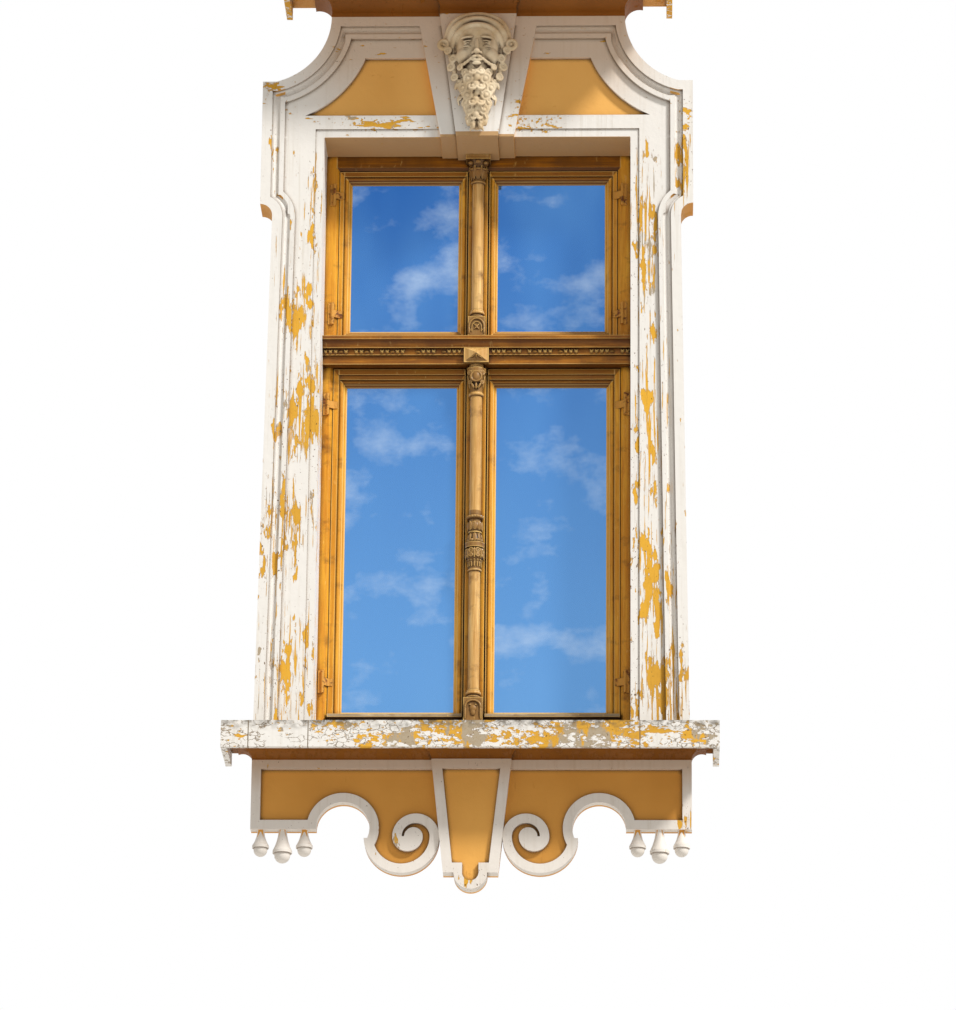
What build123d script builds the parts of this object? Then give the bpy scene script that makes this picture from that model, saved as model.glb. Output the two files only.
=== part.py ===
"""A stuccoed window: an eared surround with a carved keystone under a hood, a sill with a shaped
apron, and a wooden window of four glazed sashes that open outwards on side hinges.

Millimetres. +Z is up, the street is towards -Y and the room towards +Y. The wall's face is the
plane y = 0, and the origin is the middle of that face at the height of the sill's underside."""

from build123d import *
import os
from math import sqrt

# Opening in the surround
OPENING_HALF = 524.0
SOFFIT_Z = 2210.0
RETURN_THICK = 51.0

# Surround: outline on the wall
HEAD_H = 440.0
SHOULDER_W = 232.0
SHOULDER_R = 249.5
EAR_DROP = 241.0
EAR_H = 452.0
EAR_ARC_R = 42.0
JAMB_W = 171.0
JAMB_BATTER = 25.0
TOP_Z = SOFFIT_Z + HEAD_H
EAR_TOP_Z = TOP_Z - EAR_DROP
EAR_LOW_Z = EAR_TOP_Z - EAR_H
JAMB_TOP_HALF = OPENING_HALF + JAMB_W
JAMB_FOOT_HALF = JAMB_TOP_HALF + JAMB_BATTER
EAR_HALF = JAMB_TOP_HALF + EAR_ARC_R
TOP_HALF = EAR_HALF - SHOULDER_W

# Surround: steps of its moulding, from the outer edge inwards
BAND_FRONT = 120.0
BAND_W = 34.0
FILLET_FRONT = 112.0
FILLET_W = 8.0
SCOTIA_R = 10.0
LIST_END = 77.0
FIELD_FRONT = 100.0
INNER_BAND_W = 30.0
INNER_BAND_FRONT = 95.0
PANEL_FRONT = 84.0
PANEL_MARGIN = 146.0
LINTEL_H = 80.0

# Keystone
KEY_TOP_Z = TOP_Z - BAND_W
KEY_TOP_HALF = 201.0
KEY_LOW_HALF = 125.0
KEY_DROP = 7.0
KEY_BLOCK_FRONT = 145.0
KEY_BLOCK_TOP_HALF = 132.0
KEY_BLOCK_LOW_HALF = 71.0
KEY_BLOCK_DROP = 14.0

# Mask on the keystone
MASK_TIP_Z = SOFFIT_Z - 1
MASK_CAP_TOP_Z = TOP_Z - 8
MASK_CAP_HALF = 92.0
MASK_FACE_HALF = 76.0
MASK_BROW_Z = TOP_Z - 112
MASK_CHEEK_Z = TOP_Z - 210
MASK_BEARD_HALF = 62.0
MASK_BEARD_Z = TOP_Z - 310
MASK_ROLL_H = 26.0
MASK_ROLL_OUT = 8.0
MASK_CURL_R = 19.0
MASK_CURL_X = 113.0
MASK_CURL_Z = TOP_Z - 128
MASK_NOSE_Z = TOP_Z - 198
MASK_NOSE_H = 62.0
MASK_NOSE_LOW_R = 15.0
MASK_NOSE_TOP_R = 5.0

# Hood over the surround
HOOD_OVERSAIL = 163.0
HOOD_LIFT = 43.0
HOOD_OUT = 390.0
HOOD_HALF = TOP_HALF + HOOD_OVERSAIL
HOOD_LOW_Z = TOP_Z + HOOD_LIFT
HOOD_FACE_H = 90.0
HOOD_BED_OUT = 62.0

# Sill
SILL_OVERSAIL = 95.0
SILL_OUT = 237.0
SILL_HALF = JAMB_FOOT_HALF + SILL_OVERSAIL
SILL_FACE_H = 90.0
SILL_LIP = 20.0
SILL_RECESS = 45.0
SILL_SEAT_Z = 150.0
SILL_TAIL_LOW_Z = 60.0
SILL_BED_OUT = 48.0

# Apron
APRON_TOP_Z = 8.0
APRON_HALF = JAMB_FOOT_HALF + 5
APRON_LOW_Z = -228.0
APRON_BAND = 31.0
APRON_FIELD_FRONT = 36.0
APRON_BAND_FRONT = 52.0
ARCH_X = APRON_HALF - 304
ARCH_R = 88.0
ARCH_LIFT = 4.0
ARCH_KINK = 6.0
VOLUTE_Z = -252.0
VOLUTE_TURNS = (124.0, 77.0, 50.0)
VOLUTE_EYE_R = 30.5
APRON_KEY_FRONT = 66.0
APRON_KEY_SUNK = 14.0
APRON_KEY_TOP_HALF = 132.0
APRON_KEY_LOW_HALF = 90.0
APRON_KEY_LOW_Z = -378.0
APRON_KEY_RIM = 33.0
PENDANT_R = 55.0
PENDANT_RIM = 28.0
DROP_EDGE = 34.0
DROP_PITCH = 72.0
DROP_HEIGHTS = (89.0, 111.0, 89.0)
DROP_RADII = (27.5, 32.0, 27.5)
DROP_RIM = 9.0
BALL_SHARE = 0.82

# Wooden frame
FRAME_FRONT = 75.0
FRAME_BACK = 150.0
FRAME_REACH = 23.0
POCKET_DEPTH = 47.0
SHOULDER = 10.0
CHAMFER = 9.0
LOWER_RIM = 34.0
UPPER_RIM = 44.0
HEAD_RAIL_H = 50.0
BOTTOM_RAIL_H = 32.0
MULLION_HALF = 33.0
FRAME_HALF = OPENING_HALF + FRAME_REACH
FRAME_TOP_Z = SOFFIT_Z + FRAME_REACH
LOWER_POCKET_HALF = OPENING_HALF - LOWER_RIM
UPPER_POCKET_HALF = OPENING_HALF - UPPER_RIM
UPPER_POCKET_TOP_Z = SOFFIT_Z - HEAD_RAIL_H
LOWER_POCKET_LOW_Z = SILL_SEAT_Z + BOTTOM_RAIL_H

# Transom
TRANSOM_LOW_Z = 1434.0
TRANSOM_H = 102.0
CORNICE_FRONT = 5.0
CORNICE_DROP = 11.0
CORNICE_EDGE_H = 13.0
CORNICE_FILLET_FRONT = 22.0
CORNICE_FILLET_H = 7.0
BEAD_BAND_FRONT = 34.0
BEAD_BAND_H = 22.0
FASCIA_FRONT = 43.0
FASCIA_H = 30.0
BOSS_HALF = 42.0
BOSS_RIM = 5.0
BOSS_FRONT = 22.0
BOSS_POINT = 20.0
TRANSOM_TOP_Z = TRANSOM_LOW_Z + TRANSOM_H
CORNICE_EDGE_Z = TRANSOM_TOP_Z - CORNICE_DROP
BOSS_TOP_Z = TRANSOM_LOW_Z + FASCIA_H + BEAD_BAND_H + 4

# Sashes
SASH_FRONT = 83.0
SASH_THICK = 38.0
SIDE_GAP = 2.5
END_GAP = 3.5
MEETING_GAP = 5.0
QUIRK = 3.0
QUIRK_DEPTH = 4.0
BEAD = 13.0
BEAD_LOW = 6.0
REBATE = 13.0
GLASS_FRONT = 17.0
GLASS_THICK = 3.0
GLASS_GAP = 1.0
LOWER_STILE_FLAT = 18.5
UPPER_STILE_FLAT = 14.5
MEETING_FLAT = 2.0
LOWER_TOP_FLAT = 20.0
LOWER_TOP_SUNK = 16.0
SUNK_DEPTH = 6.0
UPPER_TOP_FLAT = 18.0
UPPER_LOW_FLAT = 5.0
LOWER_LOW_FLAT = 18.0
DRIP_OUT = 23.0
DRIP_SLOPE = 3.0
DRIP_NOSE = 10.5
DRIP_HOOK = 7.0

# Columns on the mullions
COLUMN_Y = 58.0
UPPER_SHAFT_R = 19.5
LOWER_SHAFT_R = 20.0
COLUMN_WIDEST = 32.5
CAPITAL_H = 71.0
ABACUS_HALF = 42.0
ABACUS_H = 18.0
ABACUS_FRONT = 17.0
KNOP_LOW_Z = TRANSOM_LOW_Z - 740
UPPER_BLOCK_HALF = 29.0
UPPER_BLOCK_H = 66.0
LOWER_BLOCK_HALF = 32.0
LOWER_BLOCK_H = 66.0
BLOCK_FRONT = 27.0
WEEP_HOLE_X = -12.0
WEEP_HOLE_W = 21.0
WEEP_HOLE_H = 13.0
WEEP_HOLE_DEPTH = 40.0

# Hinges
PIN_R = 2.5
PIN_CLEAR = 0.06
KNUCKLE_R = 5.0
KNUCKLE_OFF = 6.0
KNUCKLE_LIFT = 1.0
LEAF_THICK = 2.5
LEAF_W = 15.0
HINGE_H = 78.0
HINGE_GAP = 0.4
LOWER_HINGE_INSET = 130.0
UPPER_HINGE_INSET = 90.0

# Handles inside
HANDLE_X = 62.0
HANDLE_R = 5.0
HANDLE_PLATE_HALF = 6.5
HANDLE_PLATE_H = 70.0
HANDLE_PLATE_THICK = 3.0
HANDLE_CATCH = 1.0
HANDLE_BAR = 8.0
HANDLE_CLEAR = 0.4
GRIP_LEN = 95.0
TONGUE_LEN = 30.0

# Places that follow from the sizes
OUT = "parts"
DEEP = 1000.0
SASH_BACK = SASH_FRONT + SASH_THICK
POCKET_BACK = FRAME_FRONT + POCKET_DEPTH
SILL_SLOPE = (SILL_SEAT_Z - SILL_FACE_H) / (SILL_OUT + FRAME_FRONT)
SILL_AT_WALL_Z = SILL_FACE_H + SILL_SLOPE * SILL_OUT
RETURN_HALF = OPENING_HALF + RETURN_THICK
RETURN_TOP_Z = SOFFIT_Z + RETURN_THICK
SHOULDER_X = TOP_HALF + SHOULDER_R
GLASS_BACK = GLASS_FRONT + GLASS_THICK


def rect(x0, x1, z0, z1):
    """A rectangle between two corners, in the plane it is later placed on."""
    return Pos((x0 + x1) / 2, (z0 + z1) / 2) * Rectangle(x1 - x0, z1 - z0)


def disc(x, z, radius):
    return Pos(x, z) * Circle(radius)


def polygon(*points):
    return make_face(Polyline(*points, close=True))


def slab(face, back, front):
    """Thickens an outline drawn on the wall (x, z) from depth back to depth front."""
    return extrude(Plane.XZ.offset(-back) * face, amount=back - front)


def run_x(face, x0, x1):
    """Runs a section drawn as (y, z) along the wall from x0 to x1."""
    return extrude(Plane.YZ.offset(x0) * face, amount=x1 - x0)


def run_y(face, y0, y1):
    """Runs a section drawn as (x, z) into the wall from y0 to y1."""
    return extrude(Plane.XZ.offset(-y1) * face, amount=y1 - y0)


def run_z(face, z0, z1):
    """Runs a section drawn as (x, y) upwards from z0 to z1."""
    return extrude(Plane.XY.offset(z0) * face, amount=z1 - z0)


def block(x0, x1, y0, y1, z0, z1):
    return Pos((x0 + x1) / 2, (y0 + y1) / 2, (z0 + z1) / 2) * Box(x1 - x0, y1 - y0, z1 - z0)


def other_side(shape):
    return mirror(shape, about=Plane.YZ)


def save(name, *shapes):
    """Writes one node: a single solid, or a group of solids that belong together."""
    solids = [solid for shape in shapes for solid in shape.solids()]
    whole = solids[0] if len(solids) == 1 else Compound(children=solids)
    export_step(whole, f"{OUT}/{name}.step")


def surround_outline():
    """The whole front outline: eared, with hollow shoulders, on battered jambs."""
    top = rect(-EAR_HALF, EAR_HALF, EAR_LOW_Z - EAR_ARC_R, TOP_Z)
    for side in (-1, 1):
        top -= disc(side * SHOULDER_X, TOP_Z, SHOULDER_R)
    ear_inner = SHOULDER_X - sqrt(SHOULDER_R**2 - (TOP_Z - EAR_TOP_Z) ** 2)
    for side in (-1, 1):
        middle = side * (EAR_HALF + ear_inner) / 2
        ear_low = EAR_LOW_Z - EAR_ARC_R
        top += Pos(middle, (EAR_TOP_Z + ear_low) / 2) * Rectangle(EAR_HALF - ear_inner, EAR_TOP_Z - ear_low)
        top -= disc(side * EAR_HALF, ear_low, EAR_ARC_R)
    batter = (JAMB_FOOT_HALF - JAMB_TOP_HALF) / (EAR_LOW_Z - EAR_ARC_R)
    foot_half = JAMB_FOOT_HALF + batter * DEEP
    legs = polygon(
        (-JAMB_TOP_HALF, EAR_LOW_Z - EAR_ARC_R),
        (JAMB_TOP_HALF, EAR_LOW_Z - EAR_ARC_R),
        (foot_half, -DEEP),
        (-foot_half, -DEEP),
    )
    return top + legs


def scotia_cutter():
    """The hollow that runs between the two fillets: straight tubes, ring pieces and round corners."""
    inset = BAND_W + FILLET_W + SCOTIA_R
    depth = -(FILLET_FRONT + SCOTIA_R * 0.25)
    top_z = TOP_Z - inset
    arc_r = SHOULDER_R + inset
    corner_x = SHOULDER_X - sqrt(arc_r**2 - inset**2)
    ear_x = EAR_HALF - inset
    corner_z = TOP_Z - sqrt(arc_r**2 - (SHOULDER_X - ear_x) ** 2)
    low_arc_r = EAR_ARC_R + inset
    low_z = EAR_LOW_Z - EAR_ARC_R
    turn_z = low_z + sqrt(low_arc_r**2 - inset**2)
    leg_x = JAMB_TOP_HALF - inset
    foot_x = JAMB_FOOT_HALF - inset
    tube = Plane.YZ * Pos(depth, top_z) * Circle(SCOTIA_R)
    cut = extrude(tube, amount=corner_x)
    cut += Pos(corner_x, depth, top_z) * Sphere(SCOTIA_R)
    ring = Pos(SHOULDER_X, depth, TOP_Z) * (Rot(90, 0, 0) * Torus(arc_r, SCOTIA_R))
    cut += ring & block(corner_x, ear_x, depth - SCOTIA_R, depth + SCOTIA_R, corner_z, top_z)
    cut += Pos(ear_x, depth, corner_z) * Sphere(SCOTIA_R)
    ear = Plane.XY.offset(turn_z) * Pos(ear_x, depth) * Circle(SCOTIA_R)
    cut += extrude(ear, amount=corner_z - turn_z)
    low_ring = Pos(EAR_HALF, depth, low_z) * (Rot(90, 0, 0) * Torus(low_arc_r, SCOTIA_R))
    cut += Pos(ear_x, depth, turn_z) * Sphere(SCOTIA_R)
    cut += low_ring & block(leg_x, ear_x, depth - SCOTIA_R, depth + SCOTIA_R, low_z, turn_z)
    cut += Pos(leg_x, depth, low_z) * Sphere(SCOTIA_R)
    leg = Solid.make_cylinder(
        SCOTIA_R,
        sqrt(low_z**2 + (foot_x - leg_x) ** 2),
        Plane(origin=(leg_x, depth, low_z), z_dir=(foot_x - leg_x, 0, -low_z)),
    )
    return cut + leg


def surround_whole():
    """The stucco surround in one piece, before it is divided at the keystone and the imposts."""
    outline = surround_outline()
    opening = rect(-OPENING_HALF, OPENING_HALF, -DEEP, SOFFIT_Z)
    inner = rect(-OPENING_HALF - INNER_BAND_W, OPENING_HALF + INNER_BAND_W, -DEEP, SOFFIT_Z + INNER_BAND_W)
    after_band = offset(outline, amount=-BAND_W, kind=Kind.INTERSECTION)
    after_fillet = offset(outline, amount=-LIST_END, kind=Kind.INTERSECTION)
    body = slab(outline - inner, 0, -FIELD_FRONT)
    body += slab(inner - opening, 0, -INNER_BAND_FRONT)
    body += slab(outline - after_band, -FIELD_FRONT, -BAND_FRONT)
    body += slab(after_band - after_fillet, -FIELD_FRONT, -FILLET_FRONT)
    cutter = scotia_cutter()
    body -= cutter
    body -= other_side(cutter)
    panel_low = SOFFIT_Z + LINTEL_H
    panel = rect(-SHOULDER_X, SHOULDER_X, panel_low, TOP_Z - PANEL_MARGIN)
    for side in (-1, 1):
        panel -= disc(side * SHOULDER_X, TOP_Z, SHOULDER_R + PANEL_MARGIN)
    body -= slab(panel, -PANEL_FRONT, -BAND_FRONT)
    reveal = rect(-RETURN_HALF, RETURN_HALF, SILL_TAIL_LOW_Z, RETURN_TOP_Z)
    body += slab(reveal - opening, FRAME_BACK, 0)
    seat = rect(-FRAME_HALF, FRAME_HALF, -DEEP, FRAME_TOP_Z)
    body -= slab(seat, FRAME_BACK, FRAME_FRONT)
    below = polygon(
        (-DEEP, -DEEP),
        (-DEEP, SILL_AT_WALL_Z - SILL_SLOPE * DEEP),
        (FRAME_FRONT, SILL_SEAT_Z),
        (DEEP, SILL_SEAT_Z),
        (DEEP, -DEEP),
    )
    return body - run_x(below, -DEEP, DEEP)


def key_outline(top_half, low_half, low_z, top_z):
    return polygon((-low_half, low_z), (low_half, low_z), (top_half, top_z), (-top_half, top_z))


def keystone():
    """A wedge through the lintel with a raised block on its face; both run back to the window."""
    wedge = key_outline(KEY_TOP_HALF, KEY_LOW_HALF, SOFFIT_Z - KEY_DROP, KEY_TOP_Z)
    raised = key_outline(KEY_BLOCK_TOP_HALF, KEY_BLOCK_LOW_HALF, SOFFIT_Z - KEY_BLOCK_DROP, TOP_Z)
    tail = rect(-DEEP, DEEP, 0, RETURN_TOP_Z)
    stone = slab(wedge, 0, -BAND_FRONT)
    stone += slab(wedge & tail, FRAME_FRONT, 0)
    stone += slab(raised, 0, -KEY_BLOCK_FRONT)
    stone += slab(raised & tail, FRAME_FRONT, 0)
    return stone


def key_void():
    """The room that the keystone takes out of the surround."""
    wedge = key_outline(KEY_TOP_HALF, KEY_LOW_HALF, SOFFIT_Z - KEY_DROP, KEY_TOP_Z)
    raised = key_outline(KEY_BLOCK_TOP_HALF, KEY_BLOCK_LOW_HALF, SOFFIT_Z - KEY_BLOCK_DROP, TOP_Z)
    tail = rect(-DEEP, DEEP, 0, RETURN_TOP_Z)
    return slab(wedge + raised, 0, -BAND_FRONT - 1) + slab((wedge + raised) & tail, FRAME_FRONT, 0)


def make_surround():
    """Two jambs below the soffit, and two halves of the head beside the keystone."""
    whole = surround_whole() - key_void()
    left = whole & block(-DEEP, 0, -DEEP, DEEP, -DEEP, TOP_Z)
    jamb = left & block(-DEEP, 0, -DEEP, DEEP, -DEEP, SOFFIT_Z)
    head = left & block(-DEEP, 0, -DEEP, DEEP, SOFFIT_Z, TOP_Z)
    save("surround_jamb_left", jamb)
    save("surround_jamb_right", other_side(jamb))
    save("surround_head_left", head)
    save("surround_head_right", other_side(head))
    save("keystone", keystone())


def make_mask():
    """A bearded head in a cap, turned about its own axis and set against the keystone's face."""
    face_y = -KEY_BLOCK_FRONT
    side = Spline(
        (0, MASK_TIP_Z),
        (MASK_BEARD_HALF * 0.62, (MASK_TIP_Z + MASK_BEARD_Z) / 2),
        (MASK_BEARD_HALF, MASK_BEARD_Z),
        (MASK_FACE_HALF, MASK_CHEEK_Z),
        (MASK_FACE_HALF, MASK_BROW_Z),
        tangents=((1, 0.4), (0, 1)),
    )
    lip = Line((MASK_FACE_HALF, MASK_BROW_Z), (MASK_CAP_HALF, MASK_BROW_Z))
    roll_z = MASK_BROW_Z + MASK_ROLL_H
    roll = ThreePointArc(
        (MASK_CAP_HALF, MASK_BROW_Z),
        (MASK_CAP_HALF + MASK_ROLL_OUT, (MASK_BROW_Z + roll_z) / 2),
        (MASK_CAP_HALF, roll_z),
    )
    crown = ThreePointArc(
        (MASK_CAP_HALF, roll_z),
        (MASK_CAP_HALF * 0.68, MASK_CAP_TOP_Z - MASK_ROLL_H * 0.85),
        (0, MASK_CAP_TOP_Z),
    )
    axis_line = Line((0, MASK_CAP_TOP_Z), (0, MASK_TIP_Z))
    half = make_face([side, lip, roll, crown, axis_line])
    head = revolve(Plane.XZ * half, Axis.Z)
    nose = Cone(MASK_NOSE_LOW_R, MASK_NOSE_TOP_R, MASK_NOSE_H)
    head += Pos(0, -MASK_FACE_HALF, MASK_NOSE_Z + MASK_NOSE_H / 2) * nose
    for way in (-1, 1):
        head += Pos(way * MASK_CURL_X, -MASK_CURL_R * 0.4, MASK_CURL_Z) * Sphere(MASK_CURL_R)
    head = Pos(0, face_y, 0) * head
    save("mask_head", head & block(-DEEP, DEEP, -DEEP, face_y, 0, 3 * DEEP))


def cove_face(low_z, high_z, near, far):
    """Half of a bed mould's section: a fillet, a hollow and a fillet, widening upwards.

    Drawn as (distance from the middle, height)."""
    step = (high_z - low_z) * 0.16
    return make_face(
        [
            Polyline((0, low_z), (near, low_z), (near, low_z + step)),
            ThreePointArc(
                (near, low_z + step),
                (near + (far - near) * 0.22, high_z - step - (high_z - low_z - 2 * step) * 0.24),
                (far, high_z - step),
            ),
            Polyline((far, high_z - step), (far, high_z), (0, high_z), (0, low_z)),
        ]
    )


def bed_mould(half, front, out, low_z, high_z):
    """A bed mould that returns at both ends, made where its front run and its side run cross."""
    front_face = cove_face(low_z, high_z, front, front + out)
    side_face = cove_face(low_z, high_z, half, half + out)
    front_run = run_x(mirror(front_face, about=Plane.YZ), -half - out, half + out)
    side_run = run_y(side_face + mirror(side_face, about=Plane.YZ), -front - out, 0)
    return front_run & side_run


def make_hood():
    """A weathered shelf on a bed mould that breaks forward over the keystone."""
    low, face_top = HOOD_LOW_Z, HOOD_LOW_Z + HOOD_FACE_H
    section = polygon(
        (0, low), (-HOOD_OUT, low), (-HOOD_OUT, face_top), (0, face_top + SILL_SLOPE * HOOD_OUT)
    )
    shelf = run_x(section, -HOOD_HALF, HOOD_HALF)
    bed_top = low + SILL_RECESS
    shelf -= block(-HOOD_HALF + SILL_LIP, HOOD_HALF - SILL_LIP, -HOOD_OUT + SILL_LIP, 0, low, bed_top)
    mould = bed_mould(TOP_HALF, BAND_FRONT, HOOD_BED_OUT, TOP_Z, bed_top)
    mould += bed_mould(KEY_BLOCK_TOP_HALF, KEY_BLOCK_FRONT, HOOD_BED_OUT, TOP_Z, bed_top)
    save("hood_shelf", shelf)
    save("hood_bed_mould", mould)


def sill_section():
    """The sill's section from its nose to the wooden frame's face, as (y, z)."""
    return polygon((FRAME_FRONT, 0), (-SILL_OUT, 0), (-SILL_OUT, SILL_FACE_H), (FRAME_FRONT, SILL_SEAT_Z))


def make_sill():
    """The sill slopes to the street; its tail lies under the wooden frame."""
    outer = sill_section() & rect(-SILL_OUT, 0, 0, SILL_AT_WALL_Z)
    tail = polygon(
        (0, SILL_TAIL_LOW_Z),
        (0, SILL_AT_WALL_Z),
        (FRAME_FRONT, SILL_SEAT_Z),
        (FRAME_BACK, SILL_SEAT_Z),
        (FRAME_BACK, SILL_TAIL_LOW_Z),
    )
    slab_ = run_x(outer, -SILL_HALF, SILL_HALF)
    slab_ -= block(-SILL_HALF + SILL_LIP, SILL_HALF - SILL_LIP, -SILL_OUT + SILL_LIP, 0, 0, SILL_RECESS)
    slab_ += run_x(tail, -RETURN_HALF, RETURN_HALF)
    mould = bed_mould(APRON_HALF, APRON_BAND_FRONT, SILL_BED_OUT, APRON_TOP_Z, SILL_RECESS)
    mould += bed_mould(APRON_KEY_TOP_HALF, APRON_KEY_FRONT, SILL_BED_OUT, APRON_TOP_Z, SILL_RECESS)
    hole = block(
        WEEP_HOLE_X - WEEP_HOLE_W / 2,
        WEEP_HOLE_X + WEEP_HOLE_W / 2,
        -DEEP,
        -APRON_KEY_FRONT - SILL_BED_OUT + WEEP_HOLE_DEPTH,
        APRON_TOP_Z + WEEP_HOLE_H / 2,
        APRON_TOP_Z + WEEP_HOLE_H * 1.5,
    )
    mould -= hole
    save("sill", slab_)
    save("sill_bed_mould", mould)


def apron_key_outline():
    wedge = key_outline(APRON_KEY_TOP_HALF, APRON_KEY_LOW_HALF, APRON_KEY_LOW_Z, APRON_TOP_Z)
    return wedge + disc(0, APRON_KEY_LOW_Z, PENDANT_R)


def apron_outline():
    """The left wing: a straight part, a notch with a round head and the scroll's big turn."""
    turn = VOLUTE_TURNS[0]
    scroll_x = -(turn + scroll_right_x())
    wing = rect(-APRON_HALF, 0, APRON_LOW_Z, APRON_TOP_Z)
    wing += disc(scroll_x, VOLUTE_Z, turn)
    notch = disc(-ARCH_X, APRON_LOW_Z + ARCH_LIFT, ARCH_R)
    notch += rect(-ARCH_X - ARCH_R, -ARCH_X, -DEEP, APRON_LOW_Z)
    wing -= notch & rect(-DEEP, 0, VOLUTE_Z - ARCH_KINK, 0)
    return wing - apron_key_outline()


def scroll_right_x():
    """Where the scroll touches the side of the apron's key, measured from the middle."""
    share = (APRON_TOP_Z - VOLUTE_Z) / (APRON_TOP_Z - APRON_KEY_LOW_Z)
    return APRON_KEY_TOP_HALF - (APRON_KEY_TOP_HALF - APRON_KEY_LOW_HALF) * share


def half_ring(x, z, outer, inner, lower):
    ring = disc(x, z, outer)
    if inner > 0:
        ring -= disc(x, z, inner)
    keep = rect(x - outer, x + outer, z - outer, z) if lower else rect(x - outer, x + outer, z, z + outer)
    return ring & keep


def apron_band():
    """The flat border: three straight strips, the arch, and a scroll of half rings round an eye."""
    first, second, third = VOLUTE_TURNS
    right = -scroll_right_x()
    band = rect(-APRON_HALF, 0, APRON_TOP_Z - APRON_BAND, APRON_TOP_Z)
    band += rect(-APRON_HALF, -APRON_HALF + APRON_BAND, APRON_LOW_Z, APRON_TOP_Z)
    band += rect(-APRON_HALF, -ARCH_X, APRON_LOW_Z, APRON_LOW_Z + APRON_BAND)
    arch = disc(-ARCH_X, APRON_LOW_Z + ARCH_LIFT, ARCH_R + APRON_BAND)
    band += arch & rect(-DEEP, 0, VOLUTE_Z - APRON_BAND, DEEP)
    band -= rect(-ARCH_X - ARCH_R - 2 * APRON_BAND, -ARCH_X, -DEEP, APRON_LOW_Z)
    first_x = right - first
    second_x = right - second
    third_x = second_x - second + third
    band += half_ring(first_x, VOLUTE_Z, first, first - APRON_BAND, True)
    band += half_ring(second_x, VOLUTE_Z, second, second - APRON_BAND, False)
    band += half_ring(third_x, VOLUTE_Z, third, 0, True)
    band += disc(third_x + third - VOLUTE_EYE_R, VOLUTE_Z, VOLUTE_EYE_R)
    return band & apron_outline()


def make_apron():
    wing = slab(apron_outline(), 0, -APRON_FIELD_FRONT)
    wing += slab(apron_band(), -APRON_FIELD_FRONT, -APRON_BAND_FRONT)
    save("apron_left", wing)
    save("apron_right", other_side(wing))
    key = slab(apron_key_outline(), 0, -APRON_KEY_FRONT)
    slope = (APRON_KEY_TOP_HALF - APRON_KEY_LOW_HALF) / (APRON_TOP_Z - APRON_KEY_LOW_Z)
    field = key_outline(
        APRON_KEY_TOP_HALF - APRON_KEY_RIM * (1 + slope),
        APRON_KEY_LOW_HALF - APRON_KEY_RIM * (1 - slope),
        APRON_KEY_LOW_Z + APRON_KEY_RIM,
        APRON_TOP_Z - APRON_KEY_RIM,
    )
    throat = PENDANT_R - PENDANT_RIM
    field += disc(0, APRON_KEY_LOW_Z, throat)
    field += rect(-throat, throat, APRON_KEY_LOW_Z, APRON_KEY_LOW_Z + APRON_KEY_RIM)
    key -= slab(field, -APRON_KEY_FRONT + APRON_KEY_SUNK, -APRON_KEY_FRONT)
    save("apron_key", key)


def drop(radius, height):
    """A bell that hangs from the band, with a rim and a ball below it."""
    ball_r = radius * BALL_SHARE
    ball_z = ball_r - height
    rim_z = ball_z + ball_r / 4
    neck = radius * 0.42
    low = ball_r * sqrt(0.5)
    profile = [
        Line((0, 0), (neck, 0)),
        ThreePointArc((neck, 0), (radius * 0.66, rim_z * 0.55), (radius, rim_z + DROP_RIM)),
        Polyline((radius, rim_z + DROP_RIM), (radius, rim_z), (ball_r, rim_z), (ball_r, ball_z)),
        ThreePointArc((ball_r, ball_z), (low, ball_z - low), (0, -height)),
        Line((0, -height), (0, 0)),
    ]
    return revolve(Plane.XZ * make_face(profile), Axis.Z)


def make_drops():
    for number, (height, radius) in enumerate(zip(DROP_HEIGHTS, DROP_RADII), 1):
        x = APRON_HALF - DROP_EDGE - DROP_PITCH * (number - 1)
        body = Pos(-x, -max(DROP_RADII), APRON_LOW_Z) * drop(radius, height)
        save(f"drop_left_{number}", body)
        save(f"drop_right_{number}", other_side(body))


def light_cutter(half, low_z, top_z, chamfered_top):
    """The hole for one sash: a chamfered mouth, a pocket, and a smaller hole behind a shoulder."""
    mouth_top = top_z + CHAMFER if chamfered_top else top_z
    mouth = rect(-half - CHAMFER, -MULLION_HALF, low_z, mouth_top)
    pocket = rect(-half, -MULLION_HALF, low_z, top_z)
    through = rect(-half + SHOULDER, -MULLION_HALF - SHOULDER, low_z + SHOULDER, top_z - SHOULDER)
    cutter = slab(pocket, POCKET_BACK, FRAME_FRONT) + slab(through, FRAME_BACK, POCKET_BACK)
    front = Plane.XZ.offset(-FRAME_FRONT) * mouth
    back = Plane.XZ.offset(-FRAME_FRONT - CHAMFER) * pocket
    return cutter + loft([front.faces()[0], back.faces()[0]])


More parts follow.
